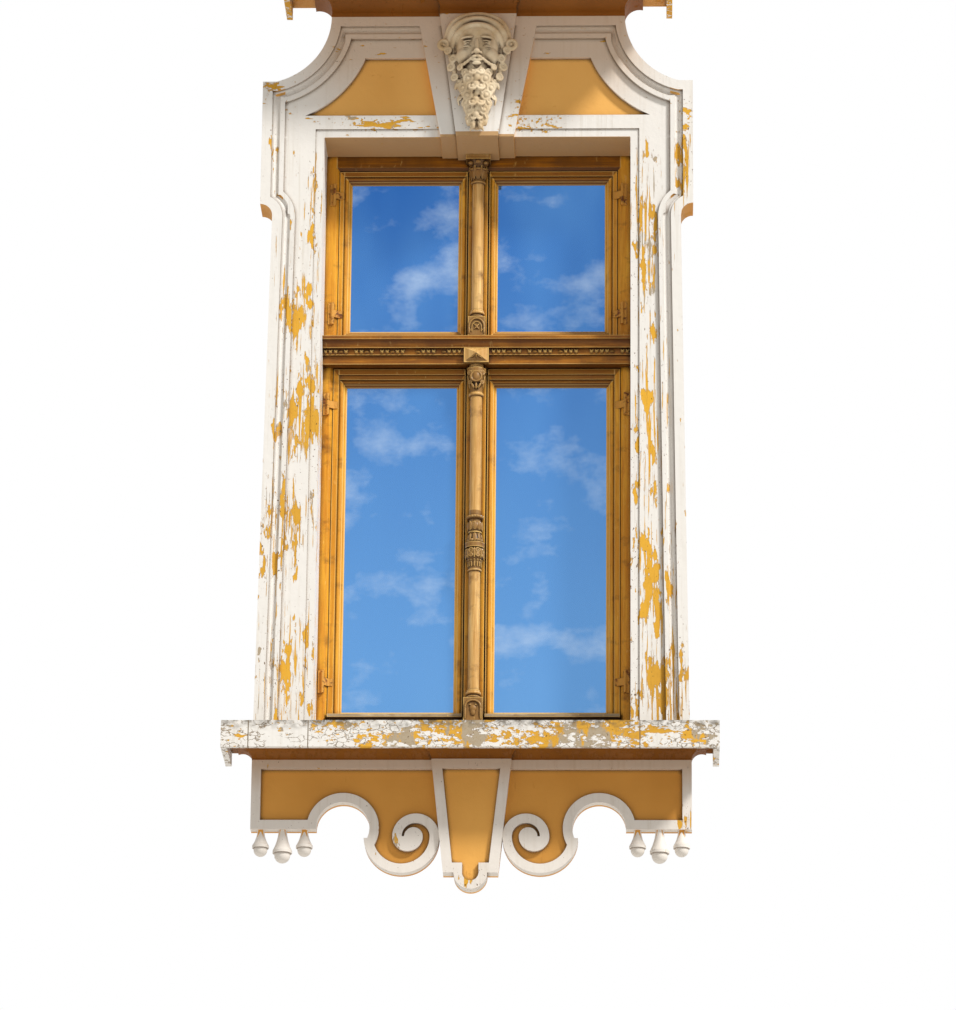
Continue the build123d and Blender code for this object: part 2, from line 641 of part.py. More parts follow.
def cornice_section():
    """The transom's street side, as (y, z): edge, hollow, fillet, bead band and fascia."""
    edge_low = CORNICE_EDGE_Z - CORNICE_EDGE_H
    fillet_top = TRANSOM_LOW_Z + FASCIA_H + BEAD_BAND_H + CORNICE_FILLET_H
    band_top = TRANSOM_LOW_Z + FASCIA_H + BEAD_BAND_H
    band_low = TRANSOM_LOW_Z + FASCIA_H
    return make_face(
        [
            Polyline(
                (FRAME_FRONT, TRANSOM_TOP_Z), (CORNICE_FRONT, CORNICE_EDGE_Z), (CORNICE_FRONT, edge_low)
            ),
            ThreePointArc(
                (CORNICE_FRONT, edge_low),
                (CORNICE_FRONT + 11.5, edge_low - (edge_low - fillet_top) * 0.3),
                (CORNICE_FILLET_FRONT, fillet_top),
            ),
            Polyline(
                (CORNICE_FILLET_FRONT, fillet_top),
                (CORNICE_FILLET_FRONT, band_top),
                (BEAD_BAND_FRONT, band_top),
                (BEAD_BAND_FRONT, band_low),
                (FASCIA_FRONT, band_low),
                (FASCIA_FRONT, TRANSOM_LOW_Z),
                (FRAME_FRONT, TRANSOM_LOW_Z),
                (FRAME_FRONT, TRANSOM_TOP_Z),
            ),
        ]
    )


def make_frame():
    """The frame is cut from one outline, and its members part along mitred and shouldered joints."""
    whole = block(-FRAME_HALF, FRAME_HALF, FRAME_FRONT, FRAME_BACK, SILL_SEAT_Z, FRAME_TOP_Z)
    lower = light_cutter(LOWER_POCKET_HALF, LOWER_POCKET_LOW_Z, TRANSOM_LOW_Z, False)
    upper = light_cutter(UPPER_POCKET_HALF, TRANSOM_TOP_Z, UPPER_POCKET_TOP_Z, True)
    for cutter in (lower, upper):
        whole -= cutter
        whole -= other_side(cutter)
    low, wall = LOWER_POCKET_HALF, UPPER_POCKET_HALF
    inner, web = MULLION_HALF + SHOULDER, MULLION_HALF
    top, mid_top, mid_low, foot = UPPER_POCKET_TOP_Z, TRANSOM_TOP_Z, TRANSOM_LOW_Z, LOWER_POCKET_LOW_Z
    head = polygon(
        (-wall + SHOULDER, top - SHOULDER),
        (-wall - CHAMFER, top + CHAMFER),
        (-wall - CHAMFER, FRAME_TOP_Z),
        (wall + CHAMFER, FRAME_TOP_Z),
        (wall + CHAMFER, top + CHAMFER),
        (wall - SHOULDER, top - SHOULDER),
    )
    rail = polygon(
        (-low, SILL_SEAT_Z),
        (-low, foot),
        (-low + SHOULDER, foot + SHOULDER),
        (low - SHOULDER, foot + SHOULDER),
        (low, foot),
        (low, SILL_SEAT_Z),
    )
    cross = polygon(
        (-low + SHOULDER, mid_low - SHOULDER),
        (low - SHOULDER, mid_low - SHOULDER),
        (low, mid_low),
        (low, mid_top),
        (wall, mid_top),
        (wall - SHOULDER, mid_top + SHOULDER),
        (-wall + SHOULDER, mid_top + SHOULDER),
        (-wall, mid_top),
        (-low, mid_top),
        (-low, mid_low),
    )
    posts = {}
    for name, z0, z1 in (("upper", mid_top, top), ("lower", foot, mid_low)):
        posts[name] = polygon(
            (-web, z0),
            (web, z0),
            (inner, z0 + SHOULDER),
            (inner, z1 - SHOULDER),
            (web, z1),
            (-web, z1),
            (-inner, z1 - SHOULDER),
            (-inner, z0 + SHOULDER),
        )
    regions = {"head": head, "bottom": rail, "transom": cross}
    solids = {name: slab(region, FRAME_BACK, FRAME_FRONT) for name, region in regions.items()}
    mullions = {name: slab(region, FRAME_BACK, FRAME_FRONT) for name, region in posts.items()}
    jambs = whole
    for solid in list(solids.values()) + list(mullions.values()):
        jambs -= solid
    for name in posts:
        save(f"frame_mullion_{name}", whole & mullions[name])
        for key in solids:
            solids[key] -= mullions[name]
    save("frame_head", whole & solids["head"])
    save("frame_bottom_rail", whole & solids["bottom"])
    cornice = run_x(cornice_section(), -OPENING_HALF, OPENING_HALF)
    save("frame_transom", (whole & solids["transom"]) + cornice)
    save("frame_jamb_left", jambs & block(-DEEP, 0, -DEEP, DEEP, -DEEP, 3 * DEEP))
    save("frame_jamb_right", jambs & block(0, DEEP, -DEEP, DEEP, -DEEP, 3 * DEEP))


def make_boss():
    """A square boss with a pyramid face, planted on the middle of the transom."""
    base = block(-BOSS_HALF, BOSS_HALF, BOSS_FRONT, FASCIA_FRONT, TRANSOM_LOW_Z, BOSS_TOP_Z)
    middle_z = (TRANSOM_LOW_Z + BOSS_TOP_Z) / 2
    half = BOSS_HALF - BOSS_RIM
    face = rect(-half, half, TRANSOM_LOW_Z + BOSS_RIM, BOSS_TOP_Z - BOSS_RIM)
    tip = rect(-1, 1, middle_z - 1, middle_z + 1)
    foot = (Plane.XZ.offset(-BOSS_FRONT) * face).faces()[0]
    top = (Plane.XZ.offset(-BOSS_FRONT + BOSS_POINT) * tip).faces()[0]
    pyramid = loft([foot, top])
    base -= run_x(cornice_section(), -BOSS_HALF, BOSS_HALF)
    save("transom_boss", base + pyramid)


def turned(members):
    """Turns a column from members (height, lower, middle and upper radius), from the foot up.

    A member is straight where its middle radius is None, and else an arc through that radius."""
    z = 0.0
    edges = []
    last = (0.0, 0.0)
    for height, low_r, mid_r, high_r in members:
        start, end = (low_r, z), (high_r, z + height)
        if last != start:
            edges.append(Line(last, start))
        if mid_r is None:
            edges.append(Line(start, end))
        else:
            edges.append(ThreePointArc(start, (mid_r, z + height / 2), end))
        last = end
        z += height
    edges += [Line(last, (0, z)), Line((0, z), (0, 0))]
    return revolve(Plane.XZ * make_face(edges), Axis.Z)


def engage(column, low_z):
    """Sets a turned column against the mullion and takes off what would stand in the wood."""
    placed = Pos(0, COLUMN_Y, low_z) * column
    return placed & block(-DEEP, DEEP, -DEEP, FRAME_FRONT, -DEEP, 3 * DEEP)


def total(members):
    return sum(member[0] for member in members)


def column_foot(shaft_r):
    wide = shaft_r + 6
    return [
        (9.0, shaft_r + 1, wide, shaft_r + 1),
        (4.0, shaft_r, None, shaft_r),
        (14.0, shaft_r + 1, wide, shaft_r + 1),
        (4.0, shaft_r + 2, None, shaft_r + 2),
    ]


def make_upper_column():
    """The upper column stands on the transom and carries an abacus under the keystone."""
    top_z = SOFFIT_Z - KEY_BLOCK_DROP
    block_top = TRANSOM_TOP_Z + UPPER_BLOCK_H
    thick = UPPER_SHAFT_R
    foot = column_foot(thick)
    head = [(11.0, thick + 1, thick + 6, thick + 1), (CAPITAL_H, thick + 1, thick + 3, ABACUS_HALF - 6)]
    shaft_h = top_z - ABACUS_H - block_top - total(foot) - total(head)
    body = engage(turned(foot + [(shaft_h, thick, None, thick)] + head), block_top)
    body += block(-ABACUS_HALF, ABACUS_HALF, ABACUS_FRONT, FRAME_FRONT, top_z - ABACUS_H, top_z)
    base = block(-UPPER_BLOCK_HALF, UPPER_BLOCK_HALF, BLOCK_FRONT, FRAME_FRONT, CORNICE_EDGE_Z, block_top)
    base -= run_x(cornice_section(), -OPENING_HALF, OPENING_HALF)
    save("column_upper", body + base)


def make_lower_column():
    """The lower column has a turned knop half way up and stands on a block on the sill."""
    block_z = LOWER_POCKET_LOW_Z + LOWER_BLOCK_H
    thick, wide = LOWER_SHAFT_R, COLUMN_WIDEST
    foot = column_foot(thick)
    knop = [
        (11.0, thick, thick + 4, thick),
        (30.0, thick, thick + 0.5, thick + 4),
        (42.0, thick + 4, wide - 1, thick + 7),
        (18.0, wide, None, wide),
        (35.0, thick + 7, thick + 1, thick),
        (5.0, thick + 3, None, thick + 3),
        (36.0, thick, thick + 7, thick),
        (8.0, thick, None, thick),
        (14.0, thick + 3, thick + 8, thick + 3),
    ]
    head = [
        (15.0, thick, thick + 6, thick),
        (CAPITAL_H, thick + 1, thick + 3, wide - 2),
        (15.0, wide, None, wide),
        (15.0, thick + 4, None, thick + 4),
    ]
    low_shaft = KNOP_LOW_Z - block_z - total(foot)
    high_shaft = TRANSOM_LOW_Z - KNOP_LOW_Z - total(knop) - total(head)
    members = foot + [(low_shaft, thick - 1, None, thick - 1)] + knop
    members += [(high_shaft, thick, None, thick)] + head
    body = engage(turned(members), block_z)
    base = block(-LOWER_BLOCK_HALF, LOWER_BLOCK_HALF, BLOCK_FRONT, FRAME_FRONT, 0, block_z)
    save("column_lower", body + (base - run_x(sill_section(), -SILL_HALF, SILL_HALF)))


def sash_section(at, flat, sunk=0.0, moulded=True):
    """A sash member's section, from its outer edge to the daylight.

    at(u, v) places a point u from the outer edge and v behind the face."""
    depth = SUNK_DEPTH if sunk else 0.0
    line = flat + sunk
    points = [at(0, 0), at(flat, 0)]
    if sunk:
        points += [at(flat, depth), at(line, depth)]
    if not moulded:
        wall = line
        edges = [Polyline(*points, at(wall, GLASS_BACK))]
    else:
        start, wall = line + QUIRK, line + QUIRK + BEAD
        points += [at(line, depth + QUIRK_DEPTH), at(start, depth + QUIRK_DEPTH)]
        crest = at(start + BEAD * 0.4, depth + 0.5)
        end = at(wall, depth + BEAD_LOW)
        edges = [Polyline(*points), ThreePointArc(points[-1], crest, end), Line(end, at(wall, GLASS_BACK))]
    tongue = wall + REBATE
    edges.append(
        Polyline(
            at(wall, GLASS_BACK), at(tongue, GLASS_BACK), at(tongue, SASH_THICK), at(0, SASH_THICK), at(0, 0)
        )
    )
    return make_face(edges), tongue


def end_region(x0, x1, z_edge, z_sight, mitre):
    """The part of the sash's front that a rail takes, with mitred corners of the given width."""
    way = 1 if z_sight > z_edge else -1
    return polygon(
        (x0 - mitre, z_edge - way),
        (x1 + mitre, z_edge - way),
        (x1 + mitre, z_sight - way * mitre),
        (x1, z_sight),
        (x0, z_sight),
        (x0 - mitre, z_sight - way * mitre),
    )


def make_sash(name, outer, z0, z1, stile_flat, top, bottom):
    """One left-hand sash and its mirror image: four members, the pane and the putty round it.

    top and bottom are (flat, sunk, moulded) of the rails."""
    inner = MULLION_HALF + MEETING_GAP
    moulding = QUIRK + BEAD + REBATE

    def left_at(u, v):
        return (-outer + u, SASH_FRONT + v)

    def meet_at(u, v):
        return (-inner - u, SASH_FRONT + v)

    def top_at(u, v):
        return (SASH_FRONT + v, z1 - u)

    def low_at(u, v):
        return (SASH_FRONT + v, z0 + u)

    stile_face, stile_w = sash_section(left_at, stile_flat)
    meet_face, meet_w = sash_section(meet_at, MEETING_FLAT)
    top_face, top_h = sash_section(top_at, *top)
    low_face, low_h = sash_section(low_at, *bottom)
    x0, x1 = -outer + stile_w, -inner - meet_w
    sight_low, sight_top = z0 + low_h, z1 - top_h
    top_mitre = moulding if top[2] else REBATE
    low_mitre = moulding if bottom[2] else REBATE
    top_zone = slab(end_region(x0, x1, z1, sight_top, top_mitre), SASH_BACK, SASH_FRONT)
    low_zone = slab(end_region(x0, x1, z0, sight_low, low_mitre), SASH_BACK, SASH_FRONT)
    stiles = run_z(stile_face, z0, z1) + run_z(meet_face, z0, z1) - top_zone - low_zone
    rails = (run_x(top_face, -outer, -inner) & top_zone) + (run_x(low_face, -outer, -inner) & low_zone)
    members = stiles.solids() + rails.solids()
    reach = REBATE - GLASS_GAP
    pane_y0, pane_y1 = SASH_FRONT + GLASS_FRONT, SASH_FRONT + GLASS_BACK
    pane = block(x0 - reach, x1 + reach, pane_y0, pane_y1, sight_low - reach, sight_top + reach)
    outside = rect(x0 - REBATE, x1 + REBATE, sight_low - REBATE, sight_top + REBATE)
    putty_front = Plane.XZ.offset(-SASH_FRONT - BEAD_LOW - 1) * outside
    putty_back = Plane.XZ.offset(-pane_y0) * rect(x0 - 1, x1 + 1, sight_low - 1, sight_top + 1)
    hollow = loft([putty_front.faces()[0], putty_back.faces()[0]])
    putty = slab(outside, pane_y0, SASH_FRONT + BEAD_LOW + 1) - hollow
    for side, turn in (("left", None), ("right", other_side)):
        place = turn or (lambda shape: shape)
        save(f"sash_{name}_{side}", *[place(member) for member in members])
        save(f"glass_{name}_{side}", place(pane))
        save(f"putty_{name}_{side}", place(putty))


def make_hinges(name, pocket_half, z0, z1, inset):
    """Two butt hinges on one sash edge: the frame's leaves carry the pins, the sash's turn on them."""
    pin_x = -(pocket_half + CHAMFER + KNUCKLE_OFF)
    pin_y = FRAME_FRONT - KNUCKLE_R - KNUCKLE_LIFT
    third = HINGE_H / 3
    frame_leaves, sash_leaves = [], []
    for middle in (z0 + inset, z1 - inset):
        low = middle - HINGE_H / 2
        bore = Plane.XY.offset(low + third) * Pos(pin_x, pin_y) * Circle(PIN_R + PIN_CLEAR)
        leaf = block(pin_x - LEAF_W, pin_x, FRAME_FRONT - LEAF_THICK, FRAME_FRONT, low, low + HINGE_H)
        for z in (low, low + 2 * third):
            leaf += Pos(pin_x, pin_y, z + third / 2) * Cylinder(KNUCKLE_R, third)
        gap = Plane.XY.offset(low + third) * Pos(pin_x, pin_y) * Circle(KNUCKLE_R + HINGE_GAP)
        leaf -= extrude(gap, amount=third)
        leaf += Pos(pin_x, pin_y, middle) * Cylinder(PIN_R, HINGE_H)
        frame_leaves.append(leaf)
        reach = -pocket_half + SIDE_GAP
        flap = polygon(
            (pin_x, pin_y - KNUCKLE_R),
            (reach + 3.5, SASH_FRONT - LEAF_THICK),
            (reach + LEAF_W, SASH_FRONT - LEAF_THICK),
            (reach + LEAF_W, SASH_FRONT),
            (reach, SASH_FRONT),
            (pin_x + KNUCKLE_R * 0.6, pin_y + KNUCKLE_R * 0.55),
            (pin_x, pin_y),
        )
        z_a, z_b = low + third + HINGE_GAP, low + 2 * third - HINGE_GAP
        turning = run_z(flap, z_a, z_b)
        turning += Pos(pin_x, pin_y, (z_a + z_b) / 2) * Cylinder(KNUCKLE_R, z_b - z_a)
        turning -= extrude(bore, amount=third)
        sash_leaves.append(turning)
    for side, turn in (("left", None), ("right", other_side)):
        place = turn or (lambda shape: shape)
        save(f"hinge_frame_{name}_{side}", *[place(leaf) for leaf in frame_leaves])
        save(f"hinge_sash_{name}_{side}", *[place(leaf) for leaf in sash_leaves])


def make_handles(name, middle_z):
    """A plate on the meeting stile's inside, and a lever whose tongue turns behind the mullion."""
    x, back = -HANDLE_X, SASH_BACK
    plate_back = back + HANDLE_PLATE_THICK
    half_h = HANDLE_PLATE_H / 2
    outline = rect(x - HANDLE_PLATE_HALF, x + HANDLE_PLATE_HALF, middle_z - half_h, middle_z + half_h)
    plate = slab(outline, plate_back, back)
    lever_y0 = FRAME_BACK + HANDLE_CATCH
    spindle = Plane.XZ.offset(-lever_y0 - HANDLE_BAR) * Pos(x, middle_z) * Circle(HANDLE_R)
    lever = extrude(spindle, amount=lever_y0 + HANDLE_BAR - plate_back - HANDLE_CLEAR)
    grip = polygon(
        (x - HANDLE_R, middle_z),
        (x + HANDLE_R, middle_z),
        (x + HANDLE_R * 1.3, middle_z - GRIP_LEN * 0.8),
        (x, middle_z - GRIP_LEN),
        (x - HANDLE_R * 1.3, middle_z - GRIP_LEN * 0.8),
    )
    lever += slab(grip, lever_y0 + HANDLE_BAR, lever_y0)
    tongue = rect(x - HANDLE_R, x + HANDLE_R, middle_z, middle_z + TONGUE_LEN)
    lever += slab(tongue, lever_y0 + HANDLE_BAR, lever_y0)
    for side, turn in (("left", None), ("right", other_side)):
        place = turn or (lambda shape: shape)
        save(f"handle_plate_{name}_{side}", place(plate))
        save(f"handle_{name}_{side}", place(lever))


def make_drips(outer, z0):
    """A weather board across the foot of each lower sash, with a sloped top and a hooked nose."""
    nose_y = SASH_FRONT - DRIP_OUT
    nose_z = z0 + LOWER_LOW_FLAT - DRIP_SLOPE
    section = polygon(
        (SASH_FRONT, z0 + 2),
        (SASH_FRONT, z0 + LOWER_LOW_FLAT),
        (nose_y, nose_z),
        (nose_y, nose_z - DRIP_NOSE),
        (nose_y + DRIP_HOOK, nose_z - DRIP_NOSE),
        (nose_y + DRIP_HOOK, z0 + 6),
    )
    board = run_x(section, -outer, -MULLION_HALF - MEETING_GAP)
    save("drip_board_left", board)
    save("drip_board_right", other_side(board))


def make_window():
    lower_outer = LOWER_POCKET_HALF - SIDE_GAP
    upper_outer = UPPER_POCKET_HALF - SIDE_GAP
    lower_z = (LOWER_POCKET_LOW_Z + END_GAP, TRANSOM_LOW_Z - END_GAP)
    upper_z = (TRANSOM_TOP_Z + END_GAP, UPPER_POCKET_TOP_Z - END_GAP)
    lower_top = (LOWER_TOP_FLAT, LOWER_TOP_SUNK, True)
    lower_low = (LOWER_LOW_FLAT, 0.0, False)
    upper_top = (UPPER_TOP_FLAT, 0.0, True)
    upper_low = (UPPER_LOW_FLAT, 0.0, True)
    make_sash("lower", lower_outer, *lower_z, LOWER_STILE_FLAT, lower_top, lower_low)
    make_sash("upper", upper_outer, *upper_z, UPPER_STILE_FLAT, upper_top, upper_low)
    make_hinges("lower", LOWER_POCKET_HALF, *lower_z, LOWER_HINGE_INSET)
    make_hinges("upper", UPPER_POCKET_HALF, *upper_z, UPPER_HINGE_INSET)
    make_handles("lower", sum(lower_z) / 2)
    make_handles("upper", sum(upper_z) / 2)
    make_drips(lower_outer, lower_z[0])


os.makedirs(OUT, exist_ok=True)
make_surround()
make_mask()
make_hood()
make_sill()
make_apron()
make_drops()
make_frame()
make_boss()
make_upper_column()
make_lower_column()
make_window()
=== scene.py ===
import bpy
from math import atan2, cos, pi, radians, sin
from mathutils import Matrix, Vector


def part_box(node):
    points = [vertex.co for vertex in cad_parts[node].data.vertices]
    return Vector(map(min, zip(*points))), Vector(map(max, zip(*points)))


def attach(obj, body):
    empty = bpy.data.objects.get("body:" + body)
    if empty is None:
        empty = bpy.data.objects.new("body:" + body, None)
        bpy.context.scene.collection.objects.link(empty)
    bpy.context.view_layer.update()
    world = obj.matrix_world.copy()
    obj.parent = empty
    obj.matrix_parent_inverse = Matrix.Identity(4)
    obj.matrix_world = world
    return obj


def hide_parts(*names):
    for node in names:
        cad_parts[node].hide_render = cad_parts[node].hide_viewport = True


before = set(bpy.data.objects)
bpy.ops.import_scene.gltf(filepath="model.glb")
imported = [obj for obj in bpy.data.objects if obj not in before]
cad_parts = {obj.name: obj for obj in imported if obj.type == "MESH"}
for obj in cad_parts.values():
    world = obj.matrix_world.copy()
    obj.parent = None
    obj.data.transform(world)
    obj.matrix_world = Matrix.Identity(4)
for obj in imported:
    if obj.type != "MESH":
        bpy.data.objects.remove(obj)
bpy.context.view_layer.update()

# The stage: a street seen from low down on the pavement, turned into a plain studio. The camera
# looks up at the window, one wide soft lamp stands high on the right, and the world is white where
# it is seen and a quiet fill where it lights. Lengths are in metres and turns in degrees.
scene = bpy.context.scene
scene.view_settings.view_transform = "Standard"
bpy.ops.object.select_all(action="DESELECT")

CAMERA_PLACE = (0.58192, -16.8426, -4.84373)
CAMERA_TURN = (108.8616, -0.5309, 1.7583)
CAMERA_LENS, CAMERA_SENSOR = 188.98, 36.0
bpy.ops.object.camera_add(location=CAMERA_PLACE, rotation=[radians(turn) for turn in CAMERA_TURN])
camera = bpy.context.object
camera.name = "camera"
camera.data.sensor_width = CAMERA_SENSOR
camera.data.lens = CAMERA_LENS
scene.camera = camera

# The lamp's angle is how wide it looks, which softens the edges of the shadows
LAMP_FROM = Vector((1.25, -1.0, 1.5))
LAMP_ENERGY, LAMP_ANGLE, LAMP_COLOUR = 3.45, 9, (1.0, 0.98, 0.95)
bpy.ops.object.light_add(type="SUN", rotation=LAMP_FROM.to_track_quat("Z", "Y").to_euler())
lamp = bpy.context.object
lamp.name = "lamp"
lamp.data.energy = LAMP_ENERGY
lamp.data.angle = radians(LAMP_ANGLE)
lamp.data.color = LAMP_COLOUR

FLOOR_Z, FLOOR_SIZE = -5.2, 60
bpy.ops.mesh.primitive_plane_add(size=FLOOR_SIZE, location=(0, 0, FLOOR_Z))
floor = bpy.context.object
floor.name = "floor"


def linear(code):
    """A colour written as an sRGB hex code, turned to the linear values that a shader takes."""
    parts = [int(code[at:at + 2], 16) / 255 for at in (0, 2, 4)]
    return [part / 12.92 if part <= 0.04045 else ((part + 0.055) / 1.055) ** 2.4 for part in parts] + [1.0]


def feed(tree, node, inputs):
    """Gives each named input of a node its value, or a link from another node."""
    for socket, value in inputs.items():
        if isinstance(value, bpy.types.NodeSocket):
            tree.links.new(value, node.inputs[socket])
        else:
            node.inputs[socket].default_value = value


def add(tree, kind, inputs=None, **settings):
    """Adds one shader node with its settings and its inputs."""
    made = tree.nodes.new("ShaderNode" + kind)
    for name, value in settings.items():
        setattr(made, name, value)
    feed(tree, made, inputs or {})
    return made


def new_material(name):
    """An empty node material: itself, its tree, its shader and the place that its patterns go by."""
    made = bpy.data.materials.new(name)
    made.use_nodes = True
    where = add(made.node_tree, "TexCoord").outputs["Object"]
    return made, made.node_tree, made.node_tree.nodes["Principled BSDF"], where


# A mix node's sockets for colours: the factor, the two colours and the result
FACTOR, UNDER, OVER, MIXED = 0, 6, 7, 2


def coats(tree, base, *layers):
    """Lays coats over a base, each given by how much shows and its colour: a hex code or a socket."""
    shown = base
    for amount, colour in layers:
        under, over = [linear(part) if isinstance(part, str) else part for part in (shown, colour)]
        shown = add(tree, "Mix", {FACTOR: amount, UNDER: under, OVER: over}, data_type="RGBA").outputs[MIXED]
    return shown


FILL_COLOUR, FILL_STRENGTH = "F8F5F0", 0.45
world = bpy.data.worlds.new("white_room")
scene.world = world
world.use_nodes = True
sky = world.node_tree
sky.nodes.clear()
path = add(sky, "LightPath")
seen = path.outputs["Is Camera Ray"]
for ray in ("Is Glossy Ray", "Is Transmission Ray"):
    seen = add(sky, "Math", {0: seen, 1: path.outputs[ray]}, operation="MAXIMUM").outputs[0]
fill = add(sky, "Background", {"Color": linear(FILL_COLOUR), "Strength": FILL_STRENGTH})
white = add(sky, "Background", {"Color": linear("FFFFFF"), "Strength": 1.0})
either = add(sky, "MixShader", {0: seen, 1: fill.outputs[0], 2: white.outputs[0]})
add(sky, "OutputWorld", {0: either.outputs[0]})

# Smooth pale screed: a faint mottle 300 mm across and nothing more
screed, tree, shader, where = new_material("screed")
mottle = add(tree, "TexNoise", {"Vector": where, "Scale": 3.0, "Detail": 4.0}).outputs[0]
feed(tree, shader, {"Base Color": coats(tree, "D6D4D0", (mottle, "DDDBD8")), "Roughness": 0.9})
floor.data.materials.append(screed)


# The stucco surround: lime render run in place over brick, primed in ochre and finished in white oil
# paint. Sun and frost lift the white in upright flakes, so the ochre coat and in a few spots the grey
# render show. Its outer sides and the sunk panels of the head are ochre. Old oil paint is nearly matt.
PAINT_WHITE, PAINT_GREYED = "F1EEE9", "D9D2C6"
OCHRE_COAT, OCHRE_DEEP = "ECB43E", "D09C3C"
RENDER_GREY, RENDER_BACK, RENDER_TOP = "B3A48C", "A08E74", "A89C88"
# The crease colour is soot with painted shade, laid into every crease
FLAKE_RIM_SHADOW, CHIP_BROWN, CREASE_SOOT_AND_SHADE = "9A6C30", "6B4F30", "6A4E30"
# A warm brown laid on as painted shade, under the hood and under the sill
WARM_PAINTED_SHADE = "C29C6E"
# How much the paint lifts in a worn zone and in a cloud, and how sharply a flake is cut from it
ZONE_LIFT, CLOUD_LIFT = 0.155, 0.05
FLAKE_EDGE, RIM_WIDTH = 0.008, 0.006
# How far a face's normal has to lean to count as facing the street, the ground, a side or the room
STREETWARD, DOWNWARD, SIDEWARD, ROOMWARD = -0.7, -0.3, 0.3, 0.6


def noise_mask(tree, where, scale, low, high, detail=5.0, shift=(0, 0, 0)):
    """A ragged patch pattern: noise of the given scale per metre, cut between two levels."""
    placed = add(tree, "Mapping", {"Vector": where, "Location": shift, "Scale": scale}).outputs[0]
    noise = add(tree, "TexNoise", {"Vector": placed, "Scale": 1.0, "Detail": detail, "Roughness": 0.6}).outputs[0]
    return add(tree, "MapRange", {"Value": noise, "From Min": low, "From Max": high}).outputs[0]


def crease_mask(tree, reach, clean, full, most, **settings):
    """How closed in a place is: 0 while more light reaches it than the clean level, and the most from
    the full level on. Looked at from inside the piece, it finds the arrises instead."""
    shade = add(tree, "AmbientOcclusion", {"Distance": reach}, **settings).outputs["AO"]
    return add(tree, "MapRange", {"Value": shade, "From Min": clean, "From Max": full, "To Max": most}).outputs[0]


def zone_sum(tree, where, zones):
    """How much more worn a place is: soft ellipses (x, z, half width, half height) on the front."""
    total = 0.0
    for x, z, half_w, half_h in zones:
        inputs = {"Vector": where, "Location": (-x / half_w, 0, -z / half_h), "Scale": (1 / half_w, 0.0, 1 / half_h)}
        placed = add(tree, "Mapping", inputs).outputs[0]
        away = add(tree, "VectorMath", {0: placed}, operation="LENGTH").outputs["Value"]
        soft = add(tree, "MapRange", {"Value": away, "From Min": 1.25, "From Max": 0.2}).outputs[0]
        total = add(tree, "Math", {0: total, 1: soft}, operation="MAXIMUM").outputs[0]
    return total


def torn_flakes(tree, where, lift, patterns):
    """Where the paint is off, and the painted shadow along each flake's rim, from patterns of (scale, shift, level).
    """
    flake = rim_shadow = 0.0
    for scale, shift, level in patterns:
        placed = add(tree, "Mapping", {"Vector": where, "Location": shift, "Scale": scale}).outputs[0]
        inputs = {"Vector": placed, "Scale": 1.0, "Detail": 6.0, "Roughness": 0.60}
        ragged = add(tree, "TexNoise", inputs).outputs[0]
        raised = add(tree, "Math", {0: ragged, 1: lift}, operation="ADD").outputs[0]
        inputs = {"Value": raised, "From Min": level, "From Max": level + FLAKE_EDGE}
        part = add(tree, "MapRange", inputs).outputs[0]
        shadow_band = add(tree, "Math", {0: raised, 1: level, 2: RIM_WIDTH}, operation="COMPARE").outputs[0]
        flake = add(tree, "Math", {0: flake, 1: part}, operation="MAXIMUM").outputs[0]
        rim_shadow = add(tree, "Math", {0: rim_shadow, 1: shadow_band}, operation="MAXIMUM").outputs[0]
    return flake, rim_shadow


def no_coats(tree, where, place):
    """For a piece that has no coat of its own."""
    return []


